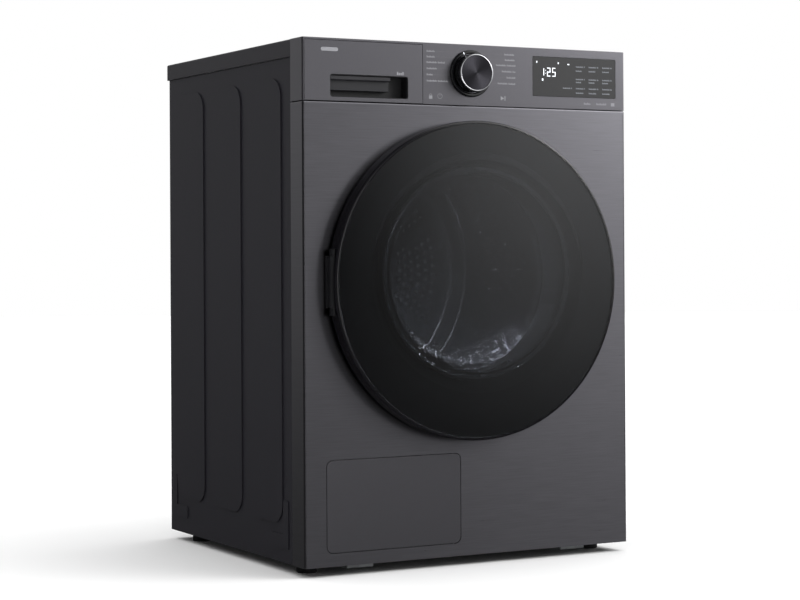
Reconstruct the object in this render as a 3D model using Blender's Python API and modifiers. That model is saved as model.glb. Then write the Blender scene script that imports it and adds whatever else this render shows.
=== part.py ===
"""Front-loading heat-pump tumble dryer, built as separate pieces in one shared frame.

Metres, +Z up. The origin is the bottom centre of the whole object's box: the floor under
the feet is z = 0, and the door faces -Y. "Depth" below is measured backwards from the
cabinet's front face, so a negative depth stands proud of the front.
"""
import math

import bmesh
import bpy
from mathutils import Matrix, Vector

# ------------------------------------------------------------------ cabinet, driving sizes
WIDTH = 0.600               # across the worktop and the front frame
HEIGHT = 0.850              # floor to worktop
CABINET_DEPTH = 0.580       # front face to the rear edge of the side panels
BODY_BOTTOM = 0.016         # underside of the cabinet above the floor
SHEET = 0.001               # folded sheet steel
GAP = 0.0003                # between pieces that touch
RUN = 0.00005               # radial clearance of a running fit
FRAME_WRAP = 0.046          # the front frame's return along each side
FRAME_RADIUS = 0.003        # its corner
SIDE_INSET = 0.0025         # side panel's flat, inside the worktop's edge
WORKTOP_THICKNESS = 0.028
WORKTOP_WALL = 0.003
WORKTOP_OVERHANG = 0.005    # past the side panels at the rear
EMBOSS_RISE = 0.0023        # raised fields of the side panels
EMBOSS_WIDTH = 0.124
EMBOSS_PITCH = 0.165
EMBOSS_FRONT = 0.088        # depth of the first field's front edge
EMBOSS_BOTTOM = 0.080
EMBOSS_TOP_GAP = 0.033      # below the worktop's lip
EMBOSS_RADIUS = 0.030

# ------------------------------------------------------------------ control panel
FASCIA_HEIGHT = 0.100
FASCIA_WALL = 0.003
TOP_STRIP = 0.0035          # fascia left above the tank drawer
DRAWER_WIDTH = 0.210
DRAWER_CLEARANCE = 0.0006
TANK_DROP = 0.012           # top of the tank below the worktop's face
GRIP_WIDTH = 0.138
GRIP_HEIGHT = 0.036
GRIP_DEPTH = 0.022
GRIP_WALL = 0.002
GRIP_FROM_LEFT = 0.048      # cabinet's left edge to the grip pocket
GRIP_FROM_SEAM = 0.007
KNOB_X = 0.001
KNOB_DROP = 0.0475          # below the top of the fascia
KNOB_RADIUS = 0.031
KNOB_PROUD = 0.0215
BEZEL_RADIUS = 0.0385
BEZEL_PROUD = 0.004
SPINDLE_RADIUS = 0.004
DISPLAY_WIDTH = 0.163
DISPLAY_HEIGHT = 0.066
DISPLAY_FROM_RIGHT = 0.018
DISPLAY_DROP = 0.014
DISPLAY_THICKNESS = 0.002

# ------------------------------------------------------------------ door
DOOR_Z = 0.4645
DOOR_RADIUS = 0.2595
DOOR_PROUD = 0.0333         # front of the outer glass
DOOR_BACK = 0.004           # between the ring's back edge and the front face
DOOR_WALL = 0.003
GLASS_THICKNESS = 0.0045
GLASS_LIP = 0.0043          # the ring's lip around the glass
BOWL_RADIUS = 0.166         # outside of the bowl at the front face
BOWL_REACH = 0.028          # how deep the bowl enters the throat
BOWL_WALL = 0.004
HINGE_X = -0.2565
HINGE_DEPTH = -0.0165
HINGE_BARREL = 0.006
HINGE_PIN = 0.003
HINGE_HALF = 0.041          # half height of the cabinet's hinge block
HINGE_NOTCH = 0.053         # half height of the notch in the ring
KNUCKLE = 0.0112            # height of each door knuckle
WEB_RADIUS = 0.196          # inner edge of the ring's web behind the glass
FINGER_HALF = 0.050         # half height of the finger notch
LATCH_X = 0.231
LATCH_HALF = 0.0145         # half height of the latch slot
HOOK_HALF = 0.011
CATCH_HALF = 0.028

# ------------------------------------------------------------------ drum and its drive
DRUM_Z = 0.477              # axis of the drum, the throat and the bowl
DRUM_SIDE_ROOM = 0.028      # cabinet's side to the drum
DRUM_TOP_ROOM = 0.001       # drum to the seam under the tank
DRUM_WALL = 0.0015
DRUM_SIDES = 40
DRUM_FRONT = 0.078
DRUM_LENGTH = 0.430
DRUM_MOUTH = 0.215
THROAT_RADIUS = 0.180
THROAT_WALL = 0.003
BULKHEAD_DEPTH = 0.050
BULKHEAD_WALL = 0.012
LIFTER_COUNT = 3
LIFTER_START = 60.0         # first lifter's angle from +X
LIFTER_HEIGHT = 0.045
LIFTER_WIDTH = 0.056
LIFTER_LENGTH = 0.380
SHAFT_RADIUS = 0.010
BUSH_RADIUS = 0.022
ROLLER_RADIUS = 0.025
ROLLER_WIDTH = 0.020
ROLLER_ANGLE = 35.0         # from straight down, each side
ROLLER_PIN = 0.004
ROLLER_FRONT = 0.084
FELT_INNER = 0.186
FELT_OUTER = 0.235
FILTER_FRONT = 0.0315
FILTER_BACK = 0.0460
FILTER_HALF = 0.0950
FILTER_BOTTOM = 0.2040
FILTER_TOP = 0.3000
FILTER_MESH_HALF = 0.026
BELT_WIDTH = 0.010
BELT_THICKNESS = 0.002
BELT_DEPTH = 0.214
MOTOR_X = 0.205
MOTOR_Z = 0.130
MOTOR_RADIUS = 0.058
MOTOR_LENGTH = 0.110
MOTOR_FRONT = 0.250
MOTOR_SHAFT = 0.006
PULLEY_RADIUS = 0.0125
FAN_RADIUS = 0.072
FAN_WIDTH = 0.045
FAN_FRONT = 0.420
FAN_HOUSING_RADIUS = 0.086
FAN_HUB = 0.014
FAN_BLADES = 10

# ------------------------------------------------------------------ heat pump bay
FLAP_LEFT = 0.039           # cabinet's left edge to the flap
FLAP_WIDTH = 0.239
FLAP_BOTTOM = 0.0375
FLAP_HEIGHT = 0.1455
FLAP_RADIUS = 0.010
FLAP_THICKNESS = 0.003
FLAP_CLEARANCE = 0.001
FLAP_ROD = 0.0015
FLAP_AXIS_DEPTH = 0.004     # hinge rod behind the flap's face
FLAP_AXIS_RISE = 0.011      # hinge rod above the flap's bottom edge, clear of its round corners
FLAP_EAR = 0.006            # width of each ear that holds the rod
FLAP_RIM_INSET = 0.006      # flap's edge to its stiffening rim
BAY_WALL = 0.003
BAY_FRONT = 0.034
BAY_LENGTH = 0.430
BAY_TOP = 0.190
LEVER_LENGTH = 0.052
LEVER_INSET = 0.048         # housing's side to each lever's axis
LEVER_Z = 0.100
LEVER_BORE = 0.004
COOLER_FRONT = 0.085        # evaporator behind the bay's front
COOLER_LENGTH = 0.110
HEATER_FRONT = 0.215        # condenser behind the bay's front
HEATER_LENGTH = 0.130
FIN_GAPS = 9
COMPRESSOR_X = 0.205
COMPRESSOR_DEPTH = 0.135
COMPRESSOR_RADIUS = 0.056
COMPRESSOR_TOP = 0.184
PUMP_X = -0.215
PUMP_HALF = 0.030
PUMP_TOP = 0.085
HOSE_RADIUS = 0.006

# ------------------------------------------------------------------ base, feet, rear
PAN_FLOOR = 0.0037
PAN_RIM = 0.018
PAN_WALL = 0.003
FOOT_X = 0.265
FOOT_FRONT = 0.070
FOOT_REAR = 0.515
FOOT_RADIUS = 0.0165
FOOT_PAD = 0.013
STUD_RADIUS = 0.005
BOSS_RADIUS = 0.010         # round each foot's socket
BRACKET_X = 0.198
BRACKET_WIDTH = 0.047
BRACKET_FRONT = 0.012
BRACKET_BACK = 0.040
BRACKET_LOW = 0.0092
BRACKET_WALL = 0.003
REAR_PANEL_DEPTH = 0.5765
REAR_PANEL_WALL = 0.0015
REAR_COVER_PROUD = 0.020
REAR_COVER_RADIUS = 0.230
REAR_COVER_WALL = 0.0015
LOUVRES = 5
LOUVRE_PITCH = 0.030
LOUVRE_HALF = 0.055
DUCT_HOLES = 8
DUCT_HOLE_RING = 0.150
DUCT_HOLE_RADIUS = 0.030
VENTS = 5
VENT_PITCH = 0.020
INLET_X = 0.215
INLET_Z = 0.300
INLET_NECK = 0.009

# ------------------------------------------------------------------ worked out from the above
TOTAL_DEPTH = DOOR_PROUD + CABINET_DEPTH + REAR_COVER_PROUD
FRONT_Y = DOOR_PROUD - TOTAL_DEPTH / 2
HALF = WIDTH / 2
SEAM_Z = HEIGHT - FASCIA_HEIGHT
LIP_Z = HEIGHT - WORKTOP_THICKNESS
DRUM_RADIUS = min(HALF - DRUM_SIDE_ROOM, SEAM_Z - DRUM_Z - DRUM_TOP_ROOM)
SIDE_FACE = HALF - SIDE_INSET
INNER = SIDE_FACE - SHEET - GAP          # half width free between the side panels
PAN_Z = BODY_BOTTOM + GAP
FLOOR_Z = PAN_Z + PAN_FLOOR + GAP        # what stands on the base pan
DRUM_BACK = DRUM_FRONT + DRUM_LENGTH
DRAWER_LEFT = -HALF + FRAME_RADIUS
DRAWER_RIGHT = DRAWER_LEFT + DRAWER_WIDTH
KNOB_Z = HEIGHT - KNOB_DROP
DISPLAY_RIGHT = HALF - DISPLAY_FROM_RIGHT
DISPLAY_TOP = HEIGHT - DISPLAY_DROP
FLAP_AXIS_Z = FLAP_BOTTOM + FLAP_AXIS_RISE

# ------------------------------------------------------------------ scene and helpers


def clear_scene():
    """Take out whatever the file opens with."""
    for item in list(bpy.data.objects):
        bpy.data.objects.remove(item, do_unlink=True)


def collection(name):
    """A new collection in the scene."""
    made = bpy.data.collections.new(name)
    bpy.context.scene.collection.children.link(made)
    return made


clear_scene()
PARTS = collection("tumble_dryer")
TOOLS = collection("cutters")

FINISHES = {
    "brushed_dark_steel": ((0.085, 0.085, 0.090), 0.42, 0.8),
    "dark_paint": ((0.030, 0.031, 0.035), 0.45, 0.0),
    "fascia_plastic": ((0.070, 0.070, 0.074), 0.38, 0.3),
    "black_gloss": ((0.006, 0.006, 0.007), 0.08, 0.0),
    "door_glass": ((0.010, 0.010, 0.012), 0.03, 0.0),
    "clear_glass": ((0.60, 0.64, 0.66), 0.05, 0.0),
    "black_plastic": ((0.012, 0.012, 0.014), 0.45, 0.0),
    "grey_plastic": ((0.30, 0.31, 0.32), 0.50, 0.0),
    "white_plastic": ((0.62, 0.63, 0.64), 0.45, 0.0),
    "galvanised_steel": ((0.42, 0.43, 0.44), 0.45, 1.0),
    "stainless_steel": ((0.55, 0.55, 0.56), 0.25, 1.0),
    "aluminium": ((0.65, 0.66, 0.67), 0.35, 1.0),
    "black_rubber": ((0.010, 0.010, 0.010), 0.80, 0.0),
    "grey_felt": ((0.16, 0.16, 0.16), 0.95, 0.0),
    "green_board": ((0.02, 0.12, 0.05), 0.50, 0.0),
}
MATERIALS = {}


def finish(name):
    """The Principled material of this name, made the first time it is asked for."""
    if name not in MATERIALS:
        colour, roughness, metallic = FINISHES[name]
        made = bpy.data.materials.new(name)
        made.use_nodes = True
        shader = made.node_tree.nodes["Principled BSDF"]
        shader.inputs["Base Color"].default_value = (*colour, 1.0)
        shader.inputs["Roughness"].default_value = roughness
        shader.inputs["Metallic"].default_value = metallic
        made.diffuse_color = (*colour, 1.0)
        MATERIALS[name] = made
    return MATERIALS[name]


def at(depth):
    """World Y of a depth behind the cabinet's front face."""
    return FRONT_Y + depth


def add(name, mesh, look=None, smooth=True):
    """Put a mesh in the model: as a part when it has a finish, as a cutter when not."""
    made = bpy.data.objects.new(name, mesh)
    if look is None:
        TOOLS.objects.link(made)
        made.hide_render = True
        made.display_type = "WIRE"
        return made
    PARTS.objects.link(made)
    mesh.materials.append(finish(look))
    if smooth:
        mesh.shade_smooth()
        mesh.set_sharp_from_angle(angle=math.radians(35))
    return made


def boolean(target, tool, operation):
    """Add a Boolean with its tool to a piece."""
    step = target.modifiers.new(tool.name, "BOOLEAN")
    step.operation = operation
    step.object = tool
    step.solver = "EXACT"


def cut(target, *tools):
    """Take the tools out of a piece."""
    for tool in tools:
        boolean(target, tool, "DIFFERENCE")
    return target


def join(target, *tools):
    """Weld the tools onto a piece."""
    for tool in tools:
        boolean(target, tool, "UNION")
    return target


def bevel(target, width, segments=2, angle=40):
    """Break the edges sharper than an angle."""
    step = target.modifiers.new("edges", "BEVEL")
    step.width = width
    step.segments = segments
    step.limit_method = "ANGLE"
    step.angle_limit = math.radians(angle)
    return target


def box(name, xs, depths, zs, look=None):
    """A block between two x, two depths and two z."""
    low = Vector((xs[0], at(depths[0]), zs[0]))
    high = Vector((xs[1], at(depths[1]), zs[1]))
    shape = bmesh.new()
    size = high - low
    place = Matrix.Translation((low + high) / 2) @ Matrix.Diagonal((*size, 1.0))
    bmesh.ops.create_cube(shape, size=1.0, matrix=place)
    mesh = bpy.data.meshes.new(name)
    shape.to_mesh(mesh)
    shape.free()
    return add(name, mesh, look, smooth=False)


def circle_points(x, z, radius, count):
    """Points of a circle."""
    turn = 2 * math.pi / count
    angles = [i * turn for i in range(count)]
    return [(x + radius * math.cos(a), z + radius * math.sin(a)) for a in angles]


def arc_points(x, z, radius, start, end, count):
    """Points of an arc, angles in degrees, both ends included."""
    step = (end - start) / count
    angles = [math.radians(start + i * step) for i in range(count + 1)]
    return [(x + radius * math.cos(a), z + radius * math.sin(a)) for a in angles]


def rounded(x0, z0, x1, z1, radius, count=4):
    """A rectangle with round corners."""
    corners = ((x1 - radius, z1 - radius, 0), (x0 + radius, z1 - radius, 90),
               (x0 + radius, z0 + radius, 180), (x1 - radius, z0 + radius, 270))
    loop = []
    for x, z, start in corners:
        loop += arc_points(x, z, radius, start, start + 90, count)
    return loop


PLANES = {
    "front": Matrix(((1, 0, 0, 0), (0, 0, -1, 0), (0, 1, 0, 0), (0, 0, 0, 1))),
    "side": Matrix(((0, 0, 1, 0), (1, 0, 0, 0), (0, 1, 0, 0), (0, 0, 0, 1))),
    "top": Matrix.Identity(4),
}


def flat(name, loops, plane, start, end, look=None):
    """An outline (with holes) given a thickness.

    front: loops are (x, z), the thickness runs over depth. side: loops are (depth, z), the
    thickness runs over x. top: loops are (x, depth), the thickness runs over z.
    """
    curve = bpy.data.curves.new(name, "CURVE")
    curve.dimensions = "2D"
    curve.fill_mode = "BOTH"
    curve.extrude = (end - start) / 2
    for loop in loops:
        spline = curve.splines.new("POLY")
        spline.points.add(len(loop) - 1)
        for point, (u, v) in zip(spline.points, loop):
            point.co = (u, v, 0, 1)
        spline.use_cyclic_u = True
    middle = (start + end) / 2
    shift = {"front": (0, at(middle), 0), "side": (middle, FRONT_Y, 0), "top": (0, FRONT_Y, middle)}
    place = Matrix.Translation(shift[plane]) @ PLANES[plane]
    return from_curve(name, curve, place, look)


def from_curve(name, curve, place, look):
    """Turn a curve into a closed mesh that takes Booleans."""
    guide = bpy.data.objects.new(name + "_curve", curve)
    TOOLS.objects.link(guide)
    guide.matrix_world = place
    bpy.context.view_layer.update()
    evaluated = guide.evaluated_get(bpy.context.evaluated_depsgraph_get())
    mesh = bpy.data.meshes.new_from_object(evaluated)
    mesh.name = name
    shape = bmesh.new()
    shape.from_mesh(mesh)
    bmesh.ops.remove_doubles(shape, verts=shape.verts, dist=0.00002)
    bmesh.ops.transform(shape, matrix=place, verts=shape.verts)
    bmesh.ops.recalc_face_normals(shape, faces=shape.faces)
    shape.to_mesh(mesh)
    shape.free()
    mesh.materials.clear()
    bpy.data.objects.remove(guide)
    bpy.data.curves.remove(curve)
    return add(name, mesh, look)


def tube(name, route, radius, look, resolution=2):
    """A round tube with capped ends along points (x, depth, z)."""
    curve = bpy.data.curves.new(name, "CURVE")
    curve.dimensions = "3D"
    curve.bevel_depth = radius
    curve.bevel_resolution = resolution
    curve.use_fill_caps = True
    spline = curve.splines.new("POLY")
    spline.points.add(len(route) - 1)
    for point, (x, depth, z) in zip(spline.points, route):
        point.co = (x, at(depth), z, 1)
    return from_curve(name, curve, Matrix.Identity(4), look)


def smooth_route(route, steps):
    """Points of a smooth curve through the route's points (Catmull-Rom)."""
    points = [Vector(p) for p in route]
    ends = [2 * points[0] - points[1]] + points + [2 * points[-1] - points[-2]]
    result = []
    for a, b, c, d in zip(ends, ends[1:], ends[2:], ends[3:]):
        for i in range(steps):
            t = i / steps
            result.append(0.5 * ((2 * b) + (c - a) * t + (2 * a - 5 * b + 4 * c - d) * t * t
                                 + (3 * b - a - 3 * c + d) * t ** 3))
    result.append(points[-1])
    return [tuple(p) for p in result]


def clockwise(profile):
    """Order a section so that its outer side runs from the top down."""
    pairs = zip(profile, profile[1:] + profile[:1])
    area = sum(a[0] * b[1] - b[0] * a[1] for a, b in pairs)
    return profile if area < 0 else profile[::-1]


def turned(name, section, x, z, look=None, steps=48, axis="depth", y=None):
    """A turned piece: a closed section of (radius, along) spun about its axis.

    axis depth: along is the depth behind the front face, about the line (x, z).
    axis up: along is z, about the upright line (x, y depth).
    """
    profile = clockwise(section)
    mesh = bpy.data.meshes.new(name)
    shape = bmesh.new()
    ring = [shape.verts.new((radius, 0, along)) for radius, along in profile]
    for a, b in zip(ring, ring[1:] + ring[:1]):
        if a.co.x > 1e-7 or b.co.x > 1e-7:
            shape.edges.new((a, b))
    shape.to_mesh(mesh)
    shape.free()
    made = add(name, mesh, look, smooth=False)
    if axis == "depth":
        lie_down = Matrix.Rotation(math.radians(-90), 4, "X")
        made.matrix_world = Matrix.Translation((x, FRONT_Y, z)) @ lie_down
    else:
        made.matrix_world = Matrix.Translation((x, at(y), 0))
    spin = made.modifiers.new("turn", "SCREW")
    spin.axis = "Z"
    spin.steps = steps
    spin.render_steps = steps
    spin.use_merge_vertices = True
    spin.merge_threshold = 0.00001
    spin.use_smooth_shade = True
    spin.use_normal_calculate = False
    return made


def disc(name, x, z, radius, depths, look=None, steps=32):
    """A cylinder whose axis runs over depth."""
    front, back = depths
    return turned(name, [(0, front), (radius, front), (radius, back), (0, back)], x, z, look, steps)


def post(name, x, depth, radius, zs, look=None, steps=24):
    """An upright cylinder."""
    low, high = zs
    return turned(name, [(0, low), (radius, low), (radius, high), (0, high)], x, 0, look, steps,
                  axis="up", y=depth)


def pivot(name, x, depth, z):
    """An empty on a joint's axis."""
    made = bpy.data.objects.new(name, None)
    made.location = (x, at(depth), z)
    made.empty_display_size = 0.03
    PARTS.objects.link(made)
    bpy.context.view_layer.update()
    return made


def hang(empty, *pieces):
    """Parent pieces to a joint's empty and leave them where they are."""
    bpy.context.view_layer.update()
    for piece in pieces:
        place = piece.matrix_world.copy()
        piece.parent = empty
        piece.matrix_parent_inverse = empty.matrix_world.inverted()
        piece.matrix_world = place


# ------------------------------------------------------------------ cabinet


def channel(half_width, back, wall, radius):
    """Plan of the front frame: a front wall with a return along each side."""
    loop = [(-half_width, back)]
    loop += arc_points(-half_width + radius, radius, radius, 180, 270, 4)
    loop += arc_points(half_width - radius, radius, radius, 270, 360, 4)
    loop += [(half_width, back), (half_width - wall, back)]
    inner = max(radius - wall, 0.0005)
    loop += arc_points(half_width - wall - inner, wall + inner, inner, 0, -90, 3)
    loop += arc_points(-half_width + wall + inner, wall + inner, inner, -90, -180, 3)
    loop.append((-half_width + wall, back))
    return loop


def build_front_panel():
    """Brushed front sheet with its side returns, the door opening and the flap opening."""
    top = SEAM_Z - GAP
    panel = flat("front_panel", [channel(HALF, FRAME_WRAP, SHEET, FRAME_RADIUS)], "top",
                 BODY_BOTTOM, top, "brushed_dark_steel")
    through = (-0.005, 0.010)
    opening = disc("door_opening", 0, DRUM_Z, THROAT_RADIUS + 0.010, through, steps=40)
    flap_left = -HALF + FLAP_LEFT
    loop = rounded(flap_left - FLAP_CLEARANCE, FLAP_BOTTOM - FLAP_CLEARANCE,
                   flap_left + FLAP_WIDTH + FLAP_CLEARANCE,
                   FLAP_BOTTOM + FLAP_HEIGHT + FLAP_CLEARANCE, FLAP_RADIUS + FLAP_CLEARANCE)
    flap_opening = flat("flap_opening", [loop], "front", *through)
    latch_slot = box("latch_slot", (LATCH_X - 0.006, LATCH_X + 0.008), through,
                     (DOOR_Z - LATCH_HALF, DOOR_Z + LATCH_HALF))
    cut(panel, opening, flap_opening, latch_slot)
    ear_lefts = {"left": flap_left - FLAP_CLEARANCE - 0.001 - FLAP_EAR,
                 "right": flap_left + FLAP_WIDTH + FLAP_CLEARANCE + 0.001}
    for side, x in ear_lefts.items():
        join(panel, box("flap_ear_" + side, (x, x + FLAP_EAR), (SHEET - GAP, 0.010),
                        (FLAP_AXIS_Z - 0.005, FLAP_AXIS_Z + 0.005)))
    cut(panel, rod_shape("flap_rod_bore", FLAP_ROD + RUN, 0.012))


def rod_shape(name, radius, extra, look=None, steps=16):
    """The flap's hinge rod, or a bore for it, along X near the flap's bottom edge."""
    left = -HALF + FLAP_LEFT - extra
    right = -HALF + FLAP_LEFT + FLAP_WIDTH + extra
    loop = circle_points(FLAP_AXIS_DEPTH, FLAP_AXIS_Z, radius, steps)
    return flat(name, [loop], "side", left, right, look)


def side_field_loops(inset):
    """Outlines of the three raised fields of a side panel."""
    loops = []
    top = LIP_Z - EMBOSS_TOP_GAP
    for index in range(3):
        front = EMBOSS_FRONT + index * EMBOSS_PITCH
        loops.append(rounded(front + inset, EMBOSS_BOTTOM + inset, front + EMBOSS_WIDTH - inset,
                             top - inset, EMBOSS_RADIUS - inset))
    return loops


def build_side_panel(side, sign):
    """Painted side sheet with three raised fields and a folded rear edge."""
    name = side + "_side_panel"
    face = sign * SIDE_FACE
    inner = sign * (SIDE_FACE - SHEET)
    low, high = sorted((face, inner))
    front = FRAME_WRAP + GAP
    outline = [(front, BODY_BOTTOM), (CABINET_DEPTH, BODY_BOTTOM), (CABINET_DEPTH, LIP_Z - GAP),
               (front, LIP_Z - GAP)]
    panel = flat(name, [outline], "side", low, high, "dark_paint")
    raised = sorted((inner, face + sign * EMBOSS_RISE))
    hollow = sorted((inner - sign * 0.001, face + sign * (EMBOSS_RISE - SHEET)))
    for index, loop in enumerate(side_field_loops(0.0)):
        join(panel, flat(f"{side}_field_{index}", [loop], "side", *raised))
    for index, loop in enumerate(side_field_loops(SHEET)):
        cut(panel, flat(f"{side}_field_hollow_{index}", [loop], "side", *hollow))
    fold = sorted((inner + sign * 0.0005, sign * (SIDE_FACE - 0.016)))
    join(panel, box(side + "_rear_fold", fold, (CABINET_DEPTH - SHEET, CABINET_DEPTH),
                    (BODY_BOTTOM + 0.001, LIP_Z - 0.002)))


def build_worktop():
    """Moulded top with a deep lip, hollow from below."""
    front = FRAME_WRAP + GAP
    back = CABINET_DEPTH + WORKTOP_OVERHANG
    top = box("worktop", (-HALF, HALF), (front, back), (LIP_Z, HEIGHT), "dark_paint")
    bevel(top, 0.0015, 2)
    inside = (-HALF + WORKTOP_WALL, HALF - WORKTOP_WALL)
    hollow = box("worktop_hollow", inside, (front + WORKTOP_WALL, back - WORKTOP_WALL),
                 (LIP_Z - 0.01, HEIGHT - WORKTOP_WALL))
    tank_way = box("tank_way", inside, (front - 0.01, front + 0.01),
                   (LIP_Z - 0.01, HEIGHT - TANK_DROP + 0.0015))
    cut(top, hollow, tank_way)


def build_base_pan():
    """Moulded tray that carries the heat pump, with a rim and four foot sockets."""
    front = SHEET + 0.0005
    back = REAR_PANEL_DEPTH - GAP
    half = INNER - GAP
    pan = box("base_pan", (-half, half), (front, back), (PAN_Z, PAN_Z + PAN_RIM), "black_plastic")
    cut(pan, box("pan_hollow", (-half + PAN_WALL, half - PAN_WALL),
                 (front + PAN_WALL, back - PAN_WALL), (PAN_Z + PAN_FLOOR, PAN_Z + 0.1)))
    for row, depth in (("front", FOOT_FRONT), ("rear", FOOT_REAR)):
        for side, sign in (("left", -1), ("right", 1)):
            boss = post(f"boss_{row}_{side}", sign * FOOT_X, depth, BOSS_RADIUS,
                        (PAN_Z + 0.001, PAN_Z + PAN_RIM), steps=16)
            join(pan, boss)
            cut(pan, post(f"socket_{row}_{side}", sign * FOOT_X, depth, STUD_RADIUS + RUN,
                          (PAN_Z - 0.01, PAN_Z + 0.1), steps=24))


def build_feet():
    """Four levelling feet: a rubber-faced pad on a threaded stud."""
    stud_top = PAN_Z + PAN_RIM + 0.012
    section = [(0, 0), (FOOT_RADIUS - 0.001, 0), (FOOT_RADIUS, 0.001), (FOOT_RADIUS, FOOT_PAD - 0.004),
               (FOOT_RADIUS - 0.003, FOOT_PAD), (STUD_RADIUS, FOOT_PAD), (STUD_RADIUS, stud_top),
               (0, stud_top)]
    for row, depth in (("front", FOOT_FRONT), ("rear", FOOT_REAR)):
        for side, sign in (("left", -1), ("right", 1)):
            turned(f"foot_{row}_{side}", section, sign * FOOT_X, 0, "black_rubber", 20, axis="up", y=depth)


def build_front_brackets():
    """Two pressed feet brackets under the front edge."""
    front, back, low_z, wall = BRACKET_FRONT, BRACKET_BACK, BRACKET_LOW, BRACKET_WALL
    profile = [(front, low_z), (back, low_z), (back, BODY_BOTTOM), (back - wall, BODY_BOTTOM),
               (back - wall, low_z + wall), (front + wall, low_z + wall), (front + wall, BODY_BOTTOM),
               (front, BODY_BOTTOM)]
    for side, sign in (("left", -1), ("right", 1)):
        centre = sign * BRACKET_X
        low, high = centre - BRACKET_WIDTH / 2, centre + BRACKET_WIDTH / 2
        bracket = flat(f"front_bracket_{side}", [profile], "side", low, high, "galvanised_steel")
        bevel(bracket, 0.0008, 1)


def build_rear():
    """Rear sheet with its vents, the drum's bearing, the duct cover and the cable inlet."""
    half = INNER - GAP
    depths = (REAR_PANEL_DEPTH, REAR_PANEL_DEPTH + REAR_PANEL_WALL)
    outline = [(-half, PAN_Z), (half, PAN_Z), (half, LIP_Z - GAP), (-half, LIP_Z - GAP)]
    holes = [circle_points(0, DRUM_Z, BUSH_RADIUS + GAP, 32),
             circle_points(INLET_X, INLET_Z, INLET_NECK + 0.0005, 16)]
    for x, z in circle_points(0, DRUM_Z, DUCT_HOLE_RING, DUCT_HOLES):
        holes.append(circle_points(x, z, DUCT_HOLE_RADIUS, 8))
    for row in range(VENTS):
        z = 0.060 + VENT_PITCH * row
        holes.append(rounded(-0.22, z, -0.10, z + 0.008, 0.003, 1))
    flat("rear_panel", [outline] + holes, "front", *depths, "galvanised_steel")

    inner, outer = depths[1] + GAP, CABINET_DEPTH + REAR_COVER_PROUD
    edge = REAR_COVER_RADIUS
    wall = REAR_COVER_WALL
    section = [(edge + 0.012, inner), (edge + 0.012, inner + wall), (edge, inner + wall),
               (edge - 0.012, outer), (0, outer), (0, outer - wall), (edge - 0.013, outer - wall),
               (edge - 0.0022, inner), (edge, inner)]
    cover = turned("rear_duct_cover", section, 0, DRUM_Z, "galvanised_steel", 32)
    for index in range(LOUVRES):
        z = DRUM_Z + (index - (LOUVRES - 1) / 2) * LOUVRE_PITCH
        cut(cover, box(f"louvre_{index}", (-LOUVRE_HALF, LOUVRE_HALF), (outer - 0.005, outer + 0.005),
                       (z - 0.005, z + 0.005)))

    bush = [(SHAFT_RADIUS + RUN, REAR_PANEL_DEPTH - 0.016), (BUSH_RADIUS, REAR_PANEL_DEPTH - 0.016),
            (BUSH_RADIUS, REAR_PANEL_DEPTH + 0.004), (SHAFT_RADIUS + RUN, REAR_PANEL_DEPTH + 0.004)]
    turned("rear_bearing", bush, 0, DRUM_Z, "white_plastic", 32)

    neck = INLET_NECK
    gland = [(0, depths[0] - 0.010), (neck, depths[0] - 0.010), (neck, depths[1] + GAP),
             (neck + 0.005, depths[1] + GAP), (neck + 0.005, depths[1] + 0.003), (neck, depths[1] + 0.006),
             (neck - 0.0015, CABINET_DEPTH + 0.014), (0, CABINET_DEPTH + 0.014)]
    turned("power_inlet", gland, INLET_X, INLET_Z, "black_rubber", 24)


# ------------------------------------------------------------------ control panel


def build_control_panel():
    """Fascia with its side returns and top edge, open for the tank drawer and the display."""
    panel = flat("control_panel", [channel(HALF, FRAME_WRAP, FASCIA_WALL, FRAME_RADIUS)], "top",
                 SEAM_Z + GAP, HEIGHT, "fascia_plastic")
    edge = HALF - 0.001
    roof = [(-edge, FRAME_WRAP), (-edge, 0.002), (-edge + 0.001, 0.001), (edge - 0.001, 0.001),
            (edge, 0.002), (edge, FRAME_WRAP)]
    join(panel, flat("fascia_roof", [roof], "top", HEIGHT - 0.0025, HEIGHT))
    through = (-0.005, FASCIA_WALL + 0.002)
    drawer = box("drawer_opening", (DRAWER_LEFT, DRAWER_RIGHT), through, (SEAM_Z - 0.005, HEIGHT - TOP_STRIP))
    window = flat("display_opening", [display_loop(GAP)], "front", *through)
    spindle = disc("spindle_hole", KNOB_X, KNOB_Z, SPINDLE_RADIUS + 0.001, through, steps=24)
    cut(panel, drawer, window, spindle)


def display_loop(grow):
    """Outline of the display window, or of a shape larger by grow all round."""
    return rounded(DISPLAY_RIGHT - DISPLAY_WIDTH - grow, DISPLAY_TOP - DISPLAY_HEIGHT - grow,
                   DISPLAY_RIGHT + grow, DISPLAY_TOP + grow, 0.002 + grow, 3)


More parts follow.
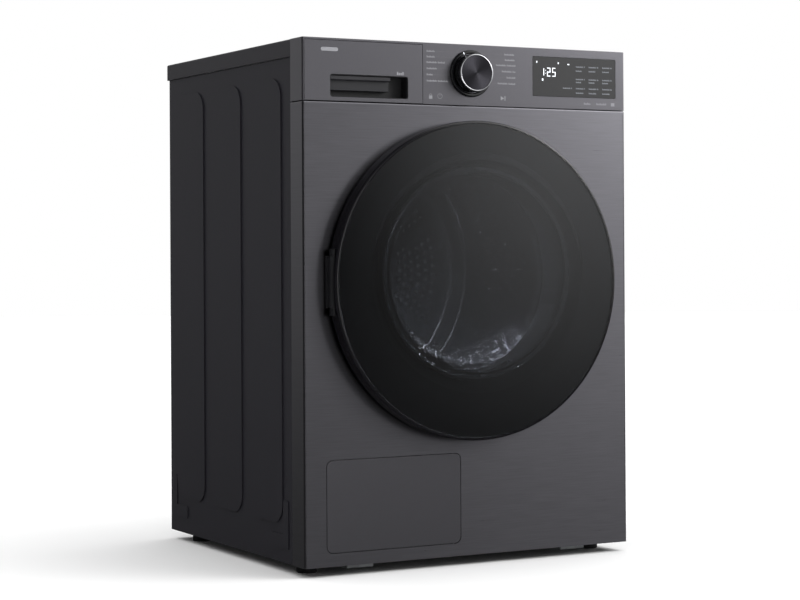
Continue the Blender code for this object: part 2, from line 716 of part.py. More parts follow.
def build_controls():
    """Display window, control board, programme knob and its bezel."""
    window_front = 0.0002
    window_back = window_front + DISPLAY_THICKNESS
    flat("display_window", [display_loop(0.0)], "front", window_front, window_back, "black_gloss")
    board_front = 0.0240
    board = box("control_board", (DRAWER_RIGHT + 0.050, HALF - 0.012), (board_front, board_front + 0.0016),
                (SEAM_Z + 0.014, HEIGHT - 0.012), "green_board")
    seated = board_front + 0.0005
    lamp_block = box("display_block", (DISPLAY_RIGHT - DISPLAY_WIDTH + 0.004, DISPLAY_RIGHT - 0.004),
                     (window_back + GAP, seated), (DISPLAY_TOP - DISPLAY_HEIGHT + 0.006, DISPLAY_TOP - 0.006))
    half = 0.012
    encoder = box("encoder_block", (KNOB_X - half, KNOB_X + half), (board_front - 0.006, seated),
                  (KNOB_Z - half, KNOB_Z + half))
    join(board, lamp_block, encoder)

    bezel = [(KNOB_RADIUS + 0.001, -GAP), (BEZEL_RADIUS, -GAP), (BEZEL_RADIUS, -0.0020),
             (BEZEL_RADIUS - 0.0015, -BEZEL_PROUD), (KNOB_RADIUS + 0.0025, -BEZEL_PROUD),
             (KNOB_RADIUS + 0.001, -BEZEL_PROUD + 0.0015)]
    turned("knob_bezel", bezel, KNOB_X, KNOB_Z, "black_gloss", 32)

    front = -KNOB_PROUD
    knob = [(0, front + 0.0006), (KNOB_RADIUS - 0.004, front + 0.0006), (KNOB_RADIUS - 0.0035, front),
            (KNOB_RADIUS - 0.0015, front), (KNOB_RADIUS, front + 0.0015), (KNOB_RADIUS, -0.0008),
            (KNOB_RADIUS - 0.002, -0.0008), (KNOB_RADIUS - 0.002, front + 0.003),
            (SPINDLE_RADIUS, front + 0.003),
            (SPINDLE_RADIUS, board_front - 0.0075), (0, board_front - 0.0075)]
    turned("programme_knob", knob, KNOB_X, KNOB_Z, "stainless_steel", 32)


def build_tank():
    """Condensate tank, its drawer front with the grip pocket, and the guide under it."""
    left = DRAWER_LEFT + DRAWER_CLEARANCE
    right = DRAWER_RIGHT - DRAWER_CLEARANCE
    low, high = SEAM_Z + DRAWER_CLEARANCE + GAP, HEIGHT - TOP_STRIP - DRAWER_CLEARANCE
    front = box("tank_drawer_front", (left, right), (0.0, FASCIA_WALL), (low, high), "fascia_plastic")
    grip_left = -HALF + GRIP_FROM_LEFT
    grip_low = SEAM_Z + GRIP_FROM_SEAM
    grip_right, grip_high = grip_left + GRIP_WIDTH, grip_low + GRIP_HEIGHT
    outside = rounded(grip_left - GRIP_WALL, grip_low - GRIP_WALL, grip_right + GRIP_WALL,
                      grip_high + GRIP_WALL, 0.006)
    inside = rounded(grip_left, grip_low, grip_right, grip_high, 0.004)
    join(front, flat("grip_tub", [outside], "front", 0.001, GRIP_DEPTH + GRIP_WALL))
    cut(front, flat("grip_pocket", [inside], "front", -0.005, GRIP_DEPTH))

    tank_xs = (-INNER + 0.008, DRAWER_RIGHT - 0.006)
    tank_zs = (SEAM_Z + 0.0085, HEIGHT - TANK_DROP)
    depths = (GRIP_DEPTH + GRIP_WALL + GAP, DRUM_BACK)
    tank = box("water_tank", tank_xs, depths, tank_zs, "white_plastic")
    bevel(tank, 0.004, 1)
    wall = 0.0025
    cut(tank, box("tank_hollow", (tank_xs[0] + wall, tank_xs[1] - wall),
                  (depths[0] + wall, depths[1] - wall), (tank_zs[0] + wall, tank_zs[1] - wall)))
    mouth_x = (tank_xs[0] + tank_xs[1]) / 2
    cut(tank, box("tank_mouth", (mouth_x - 0.045, mouth_x + 0.045),
                  (depths[1] - 0.120, depths[1] - 0.040), (tank_zs[1] - 0.006, tank_zs[1] + 0.01)))

    rail, rail_top = SEAM_Z + 0.0055, SEAM_Z + 0.0355
    low_x, high_x = -INNER + 0.003, DRAWER_RIGHT
    plan = [(low_x, rail), (high_x, rail), (high_x, rail_top), (high_x - wall, rail_top),
            (high_x - wall, rail + wall), (low_x + wall, rail + wall), (low_x + wall, rail_top),
            (low_x, rail_top)]
    flat("tank_guide", [plan], "front", FRAME_WRAP + 0.008, DRUM_BACK + 0.012, "grey_plastic")
    hang(pivot("tank_slide_axis", mouth_x, 0.0, (low + high) / 2), front, tank)


# ------------------------------------------------------------------ door


def build_door():
    """Outer ring, outer glass, inner frame, glass bowl, seal, latch hook and hinge."""
    rim = DOOR_RADIUS
    glass_radius = rim - GLASS_LIP
    front = -DOOR_PROUD
    back_of_glass = front + GLASS_THICKNESS
    web = back_of_glass + GAP
    ring = [(rim - DOOR_WALL, -DOOR_BACK), (rim - 0.001, -DOOR_BACK), (rim, -DOOR_BACK - 0.001),
            (rim, front + 0.0045), (rim - 0.0012, front + 0.0018), (rim - 0.0032, front + 0.0008),
            (glass_radius, front + 0.0008), (glass_radius, web), (WEB_RADIUS, web),
            (WEB_RADIUS, web + DOOR_WALL),
            (rim - DOOR_WALL, web + DOOR_WALL)]
    door_ring = turned("door_ring", ring, 0, DOOR_Z, "black_gloss", 48)
    notch_x = (-rim - 0.01, HINGE_X + 0.0145)
    notch_z = (DOOR_Z - HINGE_NOTCH, DOOR_Z + HINGE_NOTCH)
    cut(door_ring, box("hinge_notch", notch_x, (web + DOOR_WALL - 0.0001, 0.001), notch_z))
    finger_z = (DOOR_Z - FINGER_HALF, DOOR_Z + FINGER_HALF)
    cut(door_ring, box("finger_notch", (rim - 0.012, rim + 0.01), (-0.0200, 0.001), finger_z))

    glass = [(0, front), (glass_radius - GAP - 0.0006, front), (glass_radius - GAP, front + 0.0006),
             (glass_radius - GAP, back_of_glass), (0, back_of_glass)]
    door_glass = turned("door_glass", glass, 0, DOOR_Z, "door_glass", 48)

    plate_depths = (-DOOR_BACK - 0.0032, -DOOR_BACK - 0.0002)
    plate_loop = circle_points(0, DOOR_Z, rim - DOOR_WALL - GAP - 0.0007, 48)
    plate = flat("door_inner_frame", [plate_loop], "front", *plate_depths, "black_plastic")
    seat = BOWL_RADIUS + 0.006
    sleeve = turned("bowl_sleeve", [(seat, -0.0250), (seat + 0.004, -0.0250), (seat + 0.004, 0.0020),
                                    (seat, 0.0020)], 0, DRUM_Z, None, 40)
    hole = disc("bowl_hole", 0, DRUM_Z, seat + 0.002, (-0.0300, 0.0300), steps=40)
    cut(plate, hole)
    join(plate, sleeve)
    cut(plate, box("frame_hinge_notch", notch_x, (-0.03, 0.001), notch_z))
    cut(plate, box("frame_finger_notch", (rim - 0.018, rim + 0.01), (-0.03, 0.001), finger_z))

    rim_front = -0.0246
    bowl = [(0, BOWL_REACH - BOWL_WALL), (BOWL_RADIUS - 0.030, BOWL_REACH - BOWL_WALL - 0.005),
            (BOWL_RADIUS - 0.012, 0.008), (BOWL_RADIUS - BOWL_WALL, rim_front), (seat - GAP, rim_front),
            (seat - GAP, rim_front + 0.004), (BOWL_RADIUS, rim_front + 0.004), (BOWL_RADIUS - 0.007, 0.010),
            (BOWL_RADIUS - 0.026, BOWL_REACH - 0.005), (0, BOWL_REACH)]
    door_bowl = turned("door_bowl", bowl, 0, DRUM_Z, "clear_glass", 40)

    seal_back = -DOOR_BACK + 0.0001
    seal_in, seal_out = WEB_RADIUS + 0.0005, WEB_RADIUS + 0.0095
    seal = [(seal_in, seal_back), (seal_out, seal_back), (seal_out - 0.001, -0.0004),
            (seal_in + 0.001, -0.0004)]
    door_seal = turned("door_seal", seal, 0, DRUM_Z, "black_rubber", 40)

    hook_profile = [(-DOOR_BACK + 0.0001, LATCH_X - 0.003), (0.0185, LATCH_X - 0.003), (0.0215, LATCH_X),
                    (0.0185, LATCH_X + 0.0045), (0.0130, LATCH_X + 0.0045), (0.0130, LATCH_X + 0.0015),
                    (-DOOR_BACK + 0.0001, LATCH_X + 0.0015)]
    hook = flat("latch_hook", [[(x, depth) for depth, x in hook_profile]], "top", DOOR_Z - HOOK_HALF,
                DOOR_Z + HOOK_HALF, "grey_plastic")

    arm = build_hinge(notch_x[1])
    axis = pivot("door_axis", HINGE_X, HINGE_DEPTH, DOOR_Z)
    hang(axis, door_ring, door_glass, plate, door_bowl, door_seal, hook, arm)


def build_hinge(notch_edge):
    """Cabinet hinge block, its pin, and the door's pair of knuckles."""
    tall = (DOOR_Z - HINGE_HALF, DOOR_Z + HINGE_HALF)
    barrel = post("hinge_block", HINGE_X, HINGE_DEPTH, HINGE_BARREL, tall, "black_plastic", 16)
    foot = box("hinge_foot", (HINGE_X - 0.006, HINGE_X + 0.0205), (-0.0033, -GAP), tall)
    web = box("hinge_web", (HINGE_X - 0.004, HINGE_X + 0.004), (HINGE_DEPTH + 0.002, -0.001),
              (DOOR_Z - HINGE_HALF + 0.001, DOOR_Z + HINGE_HALF - 0.001))
    join(barrel, foot, web)
    bore_zs = (DOOR_Z - 0.1, DOOR_Z + 0.1)
    cut(barrel, post("hinge_bore", HINGE_X, HINGE_DEPTH, HINGE_PIN + RUN, bore_zs, steps=24))
    outer = HINGE_HALF + 0.0005 + KNUCKLE
    whole = (DOOR_Z - outer, DOOR_Z + outer)
    post("hinge_pin", HINGE_X, HINGE_DEPTH, HINGE_PIN, whole, "stainless_steel", 24)
    strap_x = (notch_edge - GAP - 0.003, notch_edge - GAP)
    strap = box("door_hinge_arm", strap_x, (-0.0240, -0.0080), whole, "dark_paint")
    for name, sign in (("low", -1), ("high", 1)):
        zs = sorted((DOOR_Z + sign * (HINGE_HALF + 0.0005), DOOR_Z + sign * outer))
        join(strap, post("knuckle_" + name, HINGE_X, HINGE_DEPTH, HINGE_BARREL, zs, steps=16))
        join(strap, box("knuckle_arm_" + name, (HINGE_X, strap_x[1] - 0.001),
                        (HINGE_DEPTH - 0.0045, HINGE_DEPTH + 0.0045), zs))
    cut(strap, post("knuckle_bore", HINGE_X, HINGE_DEPTH, HINGE_PIN + RUN, bore_zs, steps=24))
    return strap


def build_latch_catch():
    """Catch housing behind the front sheet that takes the door's hook."""
    xs = (LATCH_X - 0.014, LATCH_X + 0.018)
    catch = box("latch_catch", xs, (SHEET + GAP, 0.034), (DOOR_Z - CATCH_HALF, DOOR_Z + CATCH_HALF),
                "black_plastic")
    cut(catch, box("catch_pocket", (LATCH_X - 0.006, LATCH_X + 0.008), (-0.01, 0.028),
                   (DOOR_Z - LATCH_HALF, DOOR_Z + LATCH_HALF)))
    bevel(catch, 0.001, 1)


# ------------------------------------------------------------------ drum and drive


def build_drum():
    """Drum shell, perforated back, lifters, shaft, and the static throat in front of it."""
    outer, inner = DRUM_RADIUS, DRUM_RADIUS - DRUM_WALL
    shell = [(DRUM_MOUTH, DRUM_FRONT), (outer - 0.004, DRUM_FRONT), (outer, DRUM_FRONT + 0.004),
             (outer, DRUM_BACK), (inner, DRUM_BACK), (inner, DRUM_FRONT + 0.005),
             (inner - 0.003, DRUM_FRONT + DRUM_WALL), (DRUM_MOUTH, DRUM_FRONT + DRUM_WALL)]
    drum_shell = turned("drum_shell", shell, 0, DRUM_Z, "stainless_steel", DRUM_SIDES)

    back_depths = (DRUM_BACK - 0.010, DRUM_BACK - 0.0085)
    loops = [circle_points(0, DRUM_Z, inner - GAP, DRUM_SIDES)]
    for ring, count in ((0.105, 8), (0.150, 12), (0.195, 16)):
        for index in range(count):
            angle = 2 * math.pi * (index + 0.5 * (count % 4) / 2) / count
            loops.append(circle_points(ring * math.cos(angle), DRUM_Z + ring * math.sin(angle), 0.008, 6))
    drum_back = flat("drum_back", loops, "front", *back_depths, "stainless_steel")

    spider = back_depths[1] + GAP
    shaft_section = [(0, spider), (0.060, spider), (0.060, back_depths[1] + 0.003),
                     (0.018, back_depths[1] + 0.008), (SHAFT_RADIUS, back_depths[1] + 0.020),
                     (SHAFT_RADIUS, REAR_PANEL_DEPTH + 0.008), (0, REAR_PANEL_DEPTH + 0.008)]
    shaft = turned("drum_shaft", shaft_section, 0, DRUM_Z, "stainless_steel", 32)

    lifters = []
    middle = (DRUM_FRONT + DRUM_BACK - 0.010) / 2
    for index in range(LIFTER_COUNT):
        lifters.append(build_lifter(index, middle, inner))
    hang(pivot("drum_axis", 0, middle, DRUM_Z), drum_shell, drum_back, shaft, *lifters)
    build_bulkhead()


def build_lifter(index, middle, inner):
    """One hollow-backed lifter bar, seated on the inside of the shell."""
    foot = inner * math.cos(math.pi / DRUM_SIDES) - GAP
    half_angle = math.degrees(LIFTER_WIDTH / 2 / foot)
    loop = arc_points(0, 0, foot, -half_angle, half_angle, 6)
    crest = foot - LIFTER_HEIGHT
    loop += [(crest + 0.012, 0.011), (crest + 0.003, 0.008), (crest, 0.0), (crest + 0.003, -0.008),
             (crest + 0.012, -0.011)]
    turn = math.radians(LIFTER_START + index * 360 / LIFTER_COUNT)
    spun = [(x * math.cos(turn) - z * math.sin(turn), DRUM_Z + x * math.sin(turn) + z * math.cos(turn))
            for x, z in loop]
    lifter = flat(f"drum_lifter_{index + 1}", [spun], "front", middle - LIFTER_LENGTH / 2,
                  middle + LIFTER_LENGTH / 2, "stainless_steel")
    return bevel(lifter, 0.003, 1, 60)


def build_bulkhead():
    """Moulded drum front: plate, throat sleeve and the pocket that holds the lint filter."""
    depths = (BULKHEAD_DEPTH, BULKHEAD_DEPTH + BULKHEAD_WALL)
    half = INNER - 0.004
    outline = rounded(-half, BAY_TOP + 0.007, half, SEAM_Z - 0.002, 0.010)
    plate = flat("front_bulkhead", [outline], "front", *depths, "grey_plastic")
    outer = THROAT_RADIUS + THROAT_WALL
    sleeve = turned("throat_sleeve", [(THROAT_RADIUS, 0.0045), (outer, 0.0045), (outer, DRUM_FRONT - 0.003),
                                      (THROAT_RADIUS, DRUM_FRONT - 0.003)], 0, DRUM_Z, None, 40)
    cut(plate, disc("throat_hole", 0, DRUM_Z, THROAT_RADIUS + 0.001, (0.0, 0.1), steps=40))
    join(plate, sleeve)
    throat_bottom = DRUM_Z - THROAT_RADIUS
    case_half = FILTER_HALF + 0.004
    join(plate, box("filter_case", (-case_half, case_half), (FILTER_FRONT - 0.0025, BULKHEAD_DEPTH + 0.001),
                    (FILTER_BOTTOM - 0.005, throat_bottom - 0.001)))
    for side, sign in (("left", -1), ("right", 1)):
        angle = math.radians(ROLLER_ANGLE)
        reach = DRUM_RADIUS + ROLLER_RADIUS + GAP
        x, z = sign * reach * math.sin(angle), DRUM_Z - reach * math.cos(angle)
        roller_back = ROLLER_FRONT + ROLLER_WIDTH
        pin_depths = (BULKHEAD_DEPTH + 0.002, roller_back + 0.002)
        join(plate, disc("roller_pin_" + side, x, z, ROLLER_PIN, pin_depths, steps=24))
        section = [(ROLLER_PIN + RUN, ROLLER_FRONT), (ROLLER_RADIUS - 0.001, ROLLER_FRONT),
                   (ROLLER_RADIUS, ROLLER_FRONT + 0.001), (ROLLER_RADIUS, roller_back - 0.001),
                   (ROLLER_RADIUS - 0.001, roller_back), (ROLLER_PIN + RUN, roller_back)]
        roller = turned("drum_roller_" + side, section, x, z, "black_rubber", 24)
        hang(pivot("roller_axis_" + side, x, ROLLER_FRONT, z), roller)
    cut(plate, box("filter_slot", (-FILTER_HALF - GAP, FILTER_HALF + GAP),
                   (FILTER_FRONT - GAP, FILTER_BACK + GAP), (FILTER_BOTTOM - GAP, throat_bottom + 0.030)))

    felt_front = depths[1] + GAP
    felt = [(FELT_INNER, felt_front), (FELT_OUTER, felt_front), (FELT_OUTER, DRUM_FRONT - GAP),
            (DRUM_MOUTH + 0.003, DRUM_FRONT - GAP), (DRUM_MOUTH - 0.005, DRUM_FRONT - 0.006),
            (FELT_INNER, DRUM_FRONT - 0.008)]
    turned("front_felt_seal", felt, 0, DRUM_Z, "grey_felt", 40)


def build_filter():
    """Lint filter: a framed cassette with a finger lip, lifted out of the throat."""
    cassette = box("lint_filter", (-FILTER_HALF, FILTER_HALF), (FILTER_FRONT, FILTER_BACK),
                   (FILTER_BOTTOM, FILTER_TOP), "grey_plastic")
    mesh_zs = (FILTER_BOTTOM + 0.010, FILTER_TOP - 0.022)
    for index in range(3):
        x = (index - 1) * 0.060
        xs = (x - FILTER_MESH_HALF, x + FILTER_MESH_HALF)
        for face, depths in (("front", (FILTER_FRONT - 0.002, FILTER_FRONT + 0.004)),
                             ("back", (FILTER_BACK - 0.004, FILTER_BACK + 0.002))):
            cut(cassette, box(f"mesh_{face}_{index}", xs, depths, mesh_zs))
    join(cassette, box("filter_lip", (-0.035, 0.035), (FILTER_FRONT + 0.004, FILTER_BACK - 0.004),
                       (FILTER_TOP - 0.001, FILTER_TOP + 0.009)))
    hang(pivot("filter_slide_axis", 0, FILTER_FRONT, FILTER_TOP), cassette)


def belt_loop(circles, offset):
    """Outline of a belt round circles (x, z, radius) listed anticlockwise, outside them all."""
    points = []
    count = len(circles)
    for index, (x, z, radius) in enumerate(circles):
        before = tangent_angle(circles[index - 1], circles[index])
        after = tangent_angle(circles[index], circles[(index + 1) % count])
        while after < before:
            after += 360
        steps = max(4, int((after - before) / 9))
        flat_side = math.cos(math.radians((after - before) / steps / 2))
        points += arc_points(x, z, (radius + offset) / flat_side, before, after, steps)
    return points


def tangent_angle(first, second):
    """Angle in degrees at which the outer tangent from one circle to the next leaves them."""
    dx, dz = second[0] - first[0], second[1] - first[1]
    distance = math.hypot(dx, dz)
    lean = math.acos((first[2] - second[2]) / distance)
    return math.degrees(math.atan2(dz, dx) - lean)


def build_drive():
    """Belt, motor, its shaft with the pulley, and the fan that it also drives."""
    circles = [(0, DRUM_Z, DRUM_RADIUS), (MOTOR_X, MOTOR_Z, PULLEY_RADIUS)]
    clearance = 0.0004
    loops = [belt_loop(circles, clearance + BELT_THICKNESS), belt_loop(circles, clearance)]
    flat("drum_belt", loops, "front", BELT_DEPTH, BELT_DEPTH + BELT_WIDTH, "black_rubber")

    spool_front, spool_back = BELT_DEPTH - 0.004, BELT_DEPTH + BELT_WIDTH + 0.004
    fan_back = FAN_FRONT + FAN_WIDTH
    shaft = [(0, spool_front), (PULLEY_RADIUS, spool_front), (PULLEY_RADIUS, spool_back),
             (MOTOR_SHAFT, spool_back), (MOTOR_SHAFT, fan_back + 0.006), (0, fan_back + 0.006)]
    motor_shaft = turned("motor_shaft", shaft, MOTOR_X, MOTOR_Z, "stainless_steel", 32)

    bore = MOTOR_SHAFT + RUN
    motor_back = MOTOR_FRONT + MOTOR_LENGTH
    can = [(bore, MOTOR_FRONT), (0.020, MOTOR_FRONT), (0.022, MOTOR_FRONT + 0.006),
           (MOTOR_RADIUS, MOTOR_FRONT + 0.010), (MOTOR_RADIUS, motor_back - 0.010),
           (0.022, motor_back - 0.006), (0.020, motor_back), (bore, motor_back)]
    motor = turned("motor", can, MOTOR_X, MOTOR_Z, "galvanised_steel", 32)
    foot = box("motor_foot", (MOTOR_X - 0.045, MOTOR_X + 0.045), (MOTOR_FRONT + 0.020, motor_back - 0.020),
               (FLOOR_Z, MOTOR_Z - MOTOR_RADIUS * 0.75))
    join(motor, foot)

    hub = [(bore + GAP, FAN_FRONT), (FAN_HUB, FAN_FRONT), (FAN_HUB, fan_back - 0.003),
           (FAN_RADIUS, fan_back - 0.003),
           (FAN_RADIUS, fan_back), (bore + GAP, fan_back)]
    wheel = turned("fan_wheel", hub, MOTOR_X, MOTOR_Z, "black_plastic", 24)
    for index in range(FAN_BLADES):
        join(wheel, build_blade(index, 2 * math.pi * index / FAN_BLADES, fan_back))
    ring_section = [(FAN_RADIUS - 0.003, FAN_FRONT), (FAN_RADIUS, FAN_FRONT), (FAN_RADIUS, FAN_FRONT + 0.003),
                    (FAN_RADIUS - 0.003, FAN_FRONT + 0.003)]
    join(wheel, turned("fan_ring", ring_section, MOTOR_X, MOTOR_Z, None, 24))

    wall = 0.003
    far = FAN_HOUSING_RADIUS
    case = [(FAN_RADIUS - 0.018, FAN_FRONT - 0.008), (far, FAN_FRONT - 0.008), (far, fan_back + 0.010),
            (far - wall, fan_back + 0.010), (far - wall, FAN_FRONT - 0.005),
            (FAN_RADIUS - 0.018, FAN_FRONT - 0.005)]
    housing = turned("fan_housing", case, MOTOR_X, MOTOR_Z, "grey_plastic", 28)
    stand = box("fan_stand", (MOTOR_X - 0.030, MOTOR_X + 0.030), (FAN_FRONT, fan_back),
                (FLOOR_Z, MOTOR_Z - far + 0.004))
    join(housing, stand)
    room_depths = (FAN_FRONT - 0.004, fan_back + 0.02)
    cut(housing, disc("fan_room", MOTOR_X, MOTOR_Z, far - wall, room_depths, steps=28))
    hang(pivot("motor_axis", MOTOR_X, MOTOR_FRONT, MOTOR_Z), motor_shaft, wheel)


def build_blade(index, angle, fan_back):
    """One upright blade of the fan, near its rim."""
    inner, outer = FAN_RADIUS - 0.016, FAN_RADIUS - 0.0005
    half = 0.0009
    corners = [(inner, -half), (outer, -half), (outer, half), (inner, half)]
    loop = []
    for r, t in corners:
        loop.append((MOTOR_X + r * math.cos(angle) - t * math.sin(angle),
                     MOTOR_Z + r * math.sin(angle) + t * math.cos(angle)))
    return flat(f"fan_blade_{index}", [loop], "front", FAN_FRONT + 0.0010, fan_back - 0.001)


# ------------------------------------------------------------------ heat pump bay


def build_heat_pump():
    """Exchanger housing with its two finned blocks, cover and levers, compressor, pump and hose."""
    left = -FOOT_X + BOSS_RADIUS + 0.0015
    right = -HALF + FLAP_LEFT + FLAP_WIDTH + 0.006
    back = BAY_FRONT + BAY_LENGTH
    housing = box("exchanger_housing", (left, right), (BAY_FRONT, back), (FLOOR_Z, BAY_TOP), "black_plastic")
    cut(housing, box("bay_hollow", (left + BAY_WALL, right - BAY_WALL), (BAY_FRONT - 0.01, back - BAY_WALL),
                     (FLOOR_Z + BAY_WALL, BAY_TOP - BAY_WALL)))
    cut(housing, box("bay_outlet", (left + 0.040, right - 0.040), (back - 0.010, back + 0.010),
                     (FLOOR_Z + 0.040, BAY_TOP - 0.040)))

    block_xs = (left + BAY_WALL + 0.004, right - BAY_WALL - 0.004)
    block_zs = (FLOOR_Z + BAY_WALL + GAP, BAY_TOP - BAY_WALL - 0.006)
    pitch = (block_xs[1] - block_xs[0] - 0.036) / (FIN_GAPS - 1)
    blocks = {"evaporator": (COOLER_FRONT, COOLER_LENGTH), "condenser": (HEATER_FRONT, HEATER_LENGTH)}
    for name, (start, length) in blocks.items():
        front = BAY_FRONT + start
        block = box(name, block_xs, (front, front + length), block_zs, "aluminium")
        for index in range(FIN_GAPS):
            x = block_xs[0] + 0.018 + index * pitch
            cut(block, box(f"{name}_fin_gap_{index}", (x - 0.004, x + 0.004),
                           (front - 0.01, front + length + 0.01), (block_zs[0] + 0.008, block_zs[1] + 0.01)))

    cover_loop = rounded(left + 0.006, FLOOR_Z + 0.004, right - 0.006, BAY_TOP - 0.004, 0.008)
    cover_depths = (BAY_FRONT - 0.0063, BAY_FRONT - GAP)
    cover = flat("exchanger_cover", [cover_loop], "front", *cover_depths, "grey_plastic")
    middle = (left + right) / 2
    cut(cover, box("cover_grip", (middle - 0.035, middle + 0.035), (BAY_FRONT - 0.010, BAY_FRONT - 0.0025),
                   (0.085, 0.115)))
    lever_x = {"left": left + LEVER_INSET, "right": right - LEVER_INSET}
    head_front, head_back = BAY_FRONT - 0.0115, BAY_FRONT - 0.0068
    for side, x in lever_x.items():
        cut(cover, disc("lever_bore_" + side, x, LEVER_Z, LEVER_BORE + RUN, (0.0, 0.05), steps=24))
        section = [(0, head_front), (0.009, head_front), (0.009, head_back), (LEVER_BORE, head_back),
                   (LEVER_BORE, BAY_FRONT + 0.006), (0, BAY_FRONT + 0.006)]
        lever = turned("cover_lever_" + side, section, x, LEVER_Z, "white_plastic", 24)
        bar = rounded(x - 0.0055, LEVER_Z - 0.004, x + 0.0055, LEVER_Z + LEVER_LENGTH, 0.005)
        join(lever, flat("lever_bar_" + side, [bar], "front", head_front + 0.0005, head_back - 0.0002))
        hang(pivot("lever_axis_" + side, x, BAY_FRONT, LEVER_Z), lever)

    shell, top = COMPRESSOR_RADIUS, COMPRESSOR_TOP
    compressor = [(0, FLOOR_Z), (shell - 0.006, FLOOR_Z), (shell, FLOOR_Z + 0.006), (shell, top - 0.034),
                  (shell - 0.006, top - 0.016), (shell - 0.022, top - 0.004), (0, top)]
    turned("compressor", compressor, COMPRESSOR_X, 0, "black_plastic", 24, axis="up", y=COMPRESSOR_DEPTH)

    pump = box("condensate_pump", (PUMP_X - PUMP_HALF, PUMP_X + PUMP_HALF), (back + 0.025, back + 0.085),
               (FLOOR_Z, PUMP_TOP), "white_plastic")
    spout_top = PUMP_TOP + 0.013
    join(pump, post("pump_spout", PUMP_X, back + 0.070, 0.005, (PUMP_TOP - 0.001, spout_top), steps=16))
    bevel(pump, 0.002, 1)
    rise = DRUM_BACK + 0.042
    hose = [(PUMP_X, back + 0.070, spout_top + 0.0005), (PUMP_X, back + 0.074, 0.130),
            (PUMP_X - 0.001, rise - 0.004, 0.200), (PUMP_X - 0.010, rise, 0.400),
            (PUMP_X - 0.010, rise, 0.600), (PUMP_X + 0.010, rise, SEAM_Z - 0.010),
            (PUMP_X + 0.020, rise - 0.008, SEAM_Z + 0.048),
            (PUMP_X + 0.020, DRUM_BACK + 0.001, SEAM_Z + 0.058)]
    tube("condensate_hose", smooth_route(hose, 4), HOSE_RADIUS, "grey_plastic", 1)


def build_flap():
    """Service flap over the heat pump bay, with its hinge rod along the bottom edge."""
    left = -HALF + FLAP_LEFT
    right = left + FLAP_WIDTH
    top = FLAP_BOTTOM + FLAP_HEIGHT
    face = rounded(left, FLAP_BOTTOM, right, top, FLAP_RADIUS)
    flap = flat("service_flap", [face], "front", 0.0, FLAP_THICKNESS, "fascia_plastic")
    rim_left, rim_right = left + FLAP_RIM_INSET, right - FLAP_RIM_INSET
    rim_low, rim_high = FLAP_AXIS_Z + 0.002, top - FLAP_RIM_INSET
    wall = 0.002
    rim = box("flap_rim", (rim_left, rim_right), (FLAP_THICKNESS - 0.0005, 0.0095), (rim_low, rim_high))
    room = box("flap_room", (rim_left + wall, rim_right - wall), (FLAP_THICKNESS - GAP, 0.02),
               (rim_low + 2 * wall, rim_high - wall))
    barrel = box("flap_barrel", (left + FLAP_RADIUS, right - FLAP_RADIUS), (0.0005, FLAP_AXIS_DEPTH + 0.0032),
                 (FLAP_AXIS_Z - 0.0035, FLAP_AXIS_Z + 0.0035))
    join(flap, rim, barrel)
    cut(flap, room)
    cut(flap, rod_shape("flap_bore", FLAP_ROD + RUN, 0.02))
    rod_shape("flap_hinge_rod", FLAP_ROD, 0.0075, "galvanised_steel")
    hang(pivot("flap_axis", (left + right) / 2, FLAP_AXIS_DEPTH, FLAP_AXIS_Z), flap)


def main():
    """Build every piece."""
    build_base_pan()
    build_feet()
    build_front_brackets()
    build_front_panel()
    build_side_panel("left", -1)
    build_side_panel("right", 1)
    build_worktop()
    build_rear()
    build_control_panel()
    build_controls()
    build_tank()
    build_door()
    build_latch_catch()
    build_drum()
    build_filter()
    build_drive()
    build_heat_pump()
    build_flap()


main()
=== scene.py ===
import logging
import math
from dataclasses import dataclass, field
from enum import Enum

import bpy
from mathutils import Matrix, Vector


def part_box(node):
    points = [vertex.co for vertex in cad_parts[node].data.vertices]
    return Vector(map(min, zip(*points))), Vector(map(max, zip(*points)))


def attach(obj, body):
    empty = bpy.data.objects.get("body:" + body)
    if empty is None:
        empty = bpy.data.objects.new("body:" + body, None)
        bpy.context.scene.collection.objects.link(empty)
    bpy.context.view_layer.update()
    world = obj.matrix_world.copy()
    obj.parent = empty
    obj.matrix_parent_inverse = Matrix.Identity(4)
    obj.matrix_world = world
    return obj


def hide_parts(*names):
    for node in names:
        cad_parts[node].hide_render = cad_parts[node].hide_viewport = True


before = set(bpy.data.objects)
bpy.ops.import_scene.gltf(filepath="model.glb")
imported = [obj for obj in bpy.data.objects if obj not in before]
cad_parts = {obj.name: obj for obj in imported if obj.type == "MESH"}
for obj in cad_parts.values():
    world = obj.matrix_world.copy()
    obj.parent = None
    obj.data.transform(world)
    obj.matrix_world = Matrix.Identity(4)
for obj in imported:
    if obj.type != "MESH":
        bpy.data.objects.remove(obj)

LOG = logging.getLogger("tumble_dryer")
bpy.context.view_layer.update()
Point = tuple[float, float, float]
Profile = list[tuple[float, float]]
MM = 0.001
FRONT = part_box("front_panel")[0].y       # plane of the cabinet's front face


def at(depth: float) -> float:
    """World Y of a depth behind the cabinet's front face."""
    return FRONT + depth


# ---------------------------------------------------------------- finishes


def linear(code: str) -> tuple[float, float, float, float]:
    """Turn an sRGB hex code into the linear colour that a shader takes.

    Args:
        code: a colour such as "#4a4a4d".

    Returns:
        Linear red, green, blue and an alpha of one.
    """
    parts = [int(code[i:i + 2], 16) / 255 for i in (1, 3, 5)]
    r, g, b = [p / 12.92 if p <= 0.04045 else ((p + 0.055) / 1.055) ** 2.4 for p in parts]
    return r, g, b, 1.0


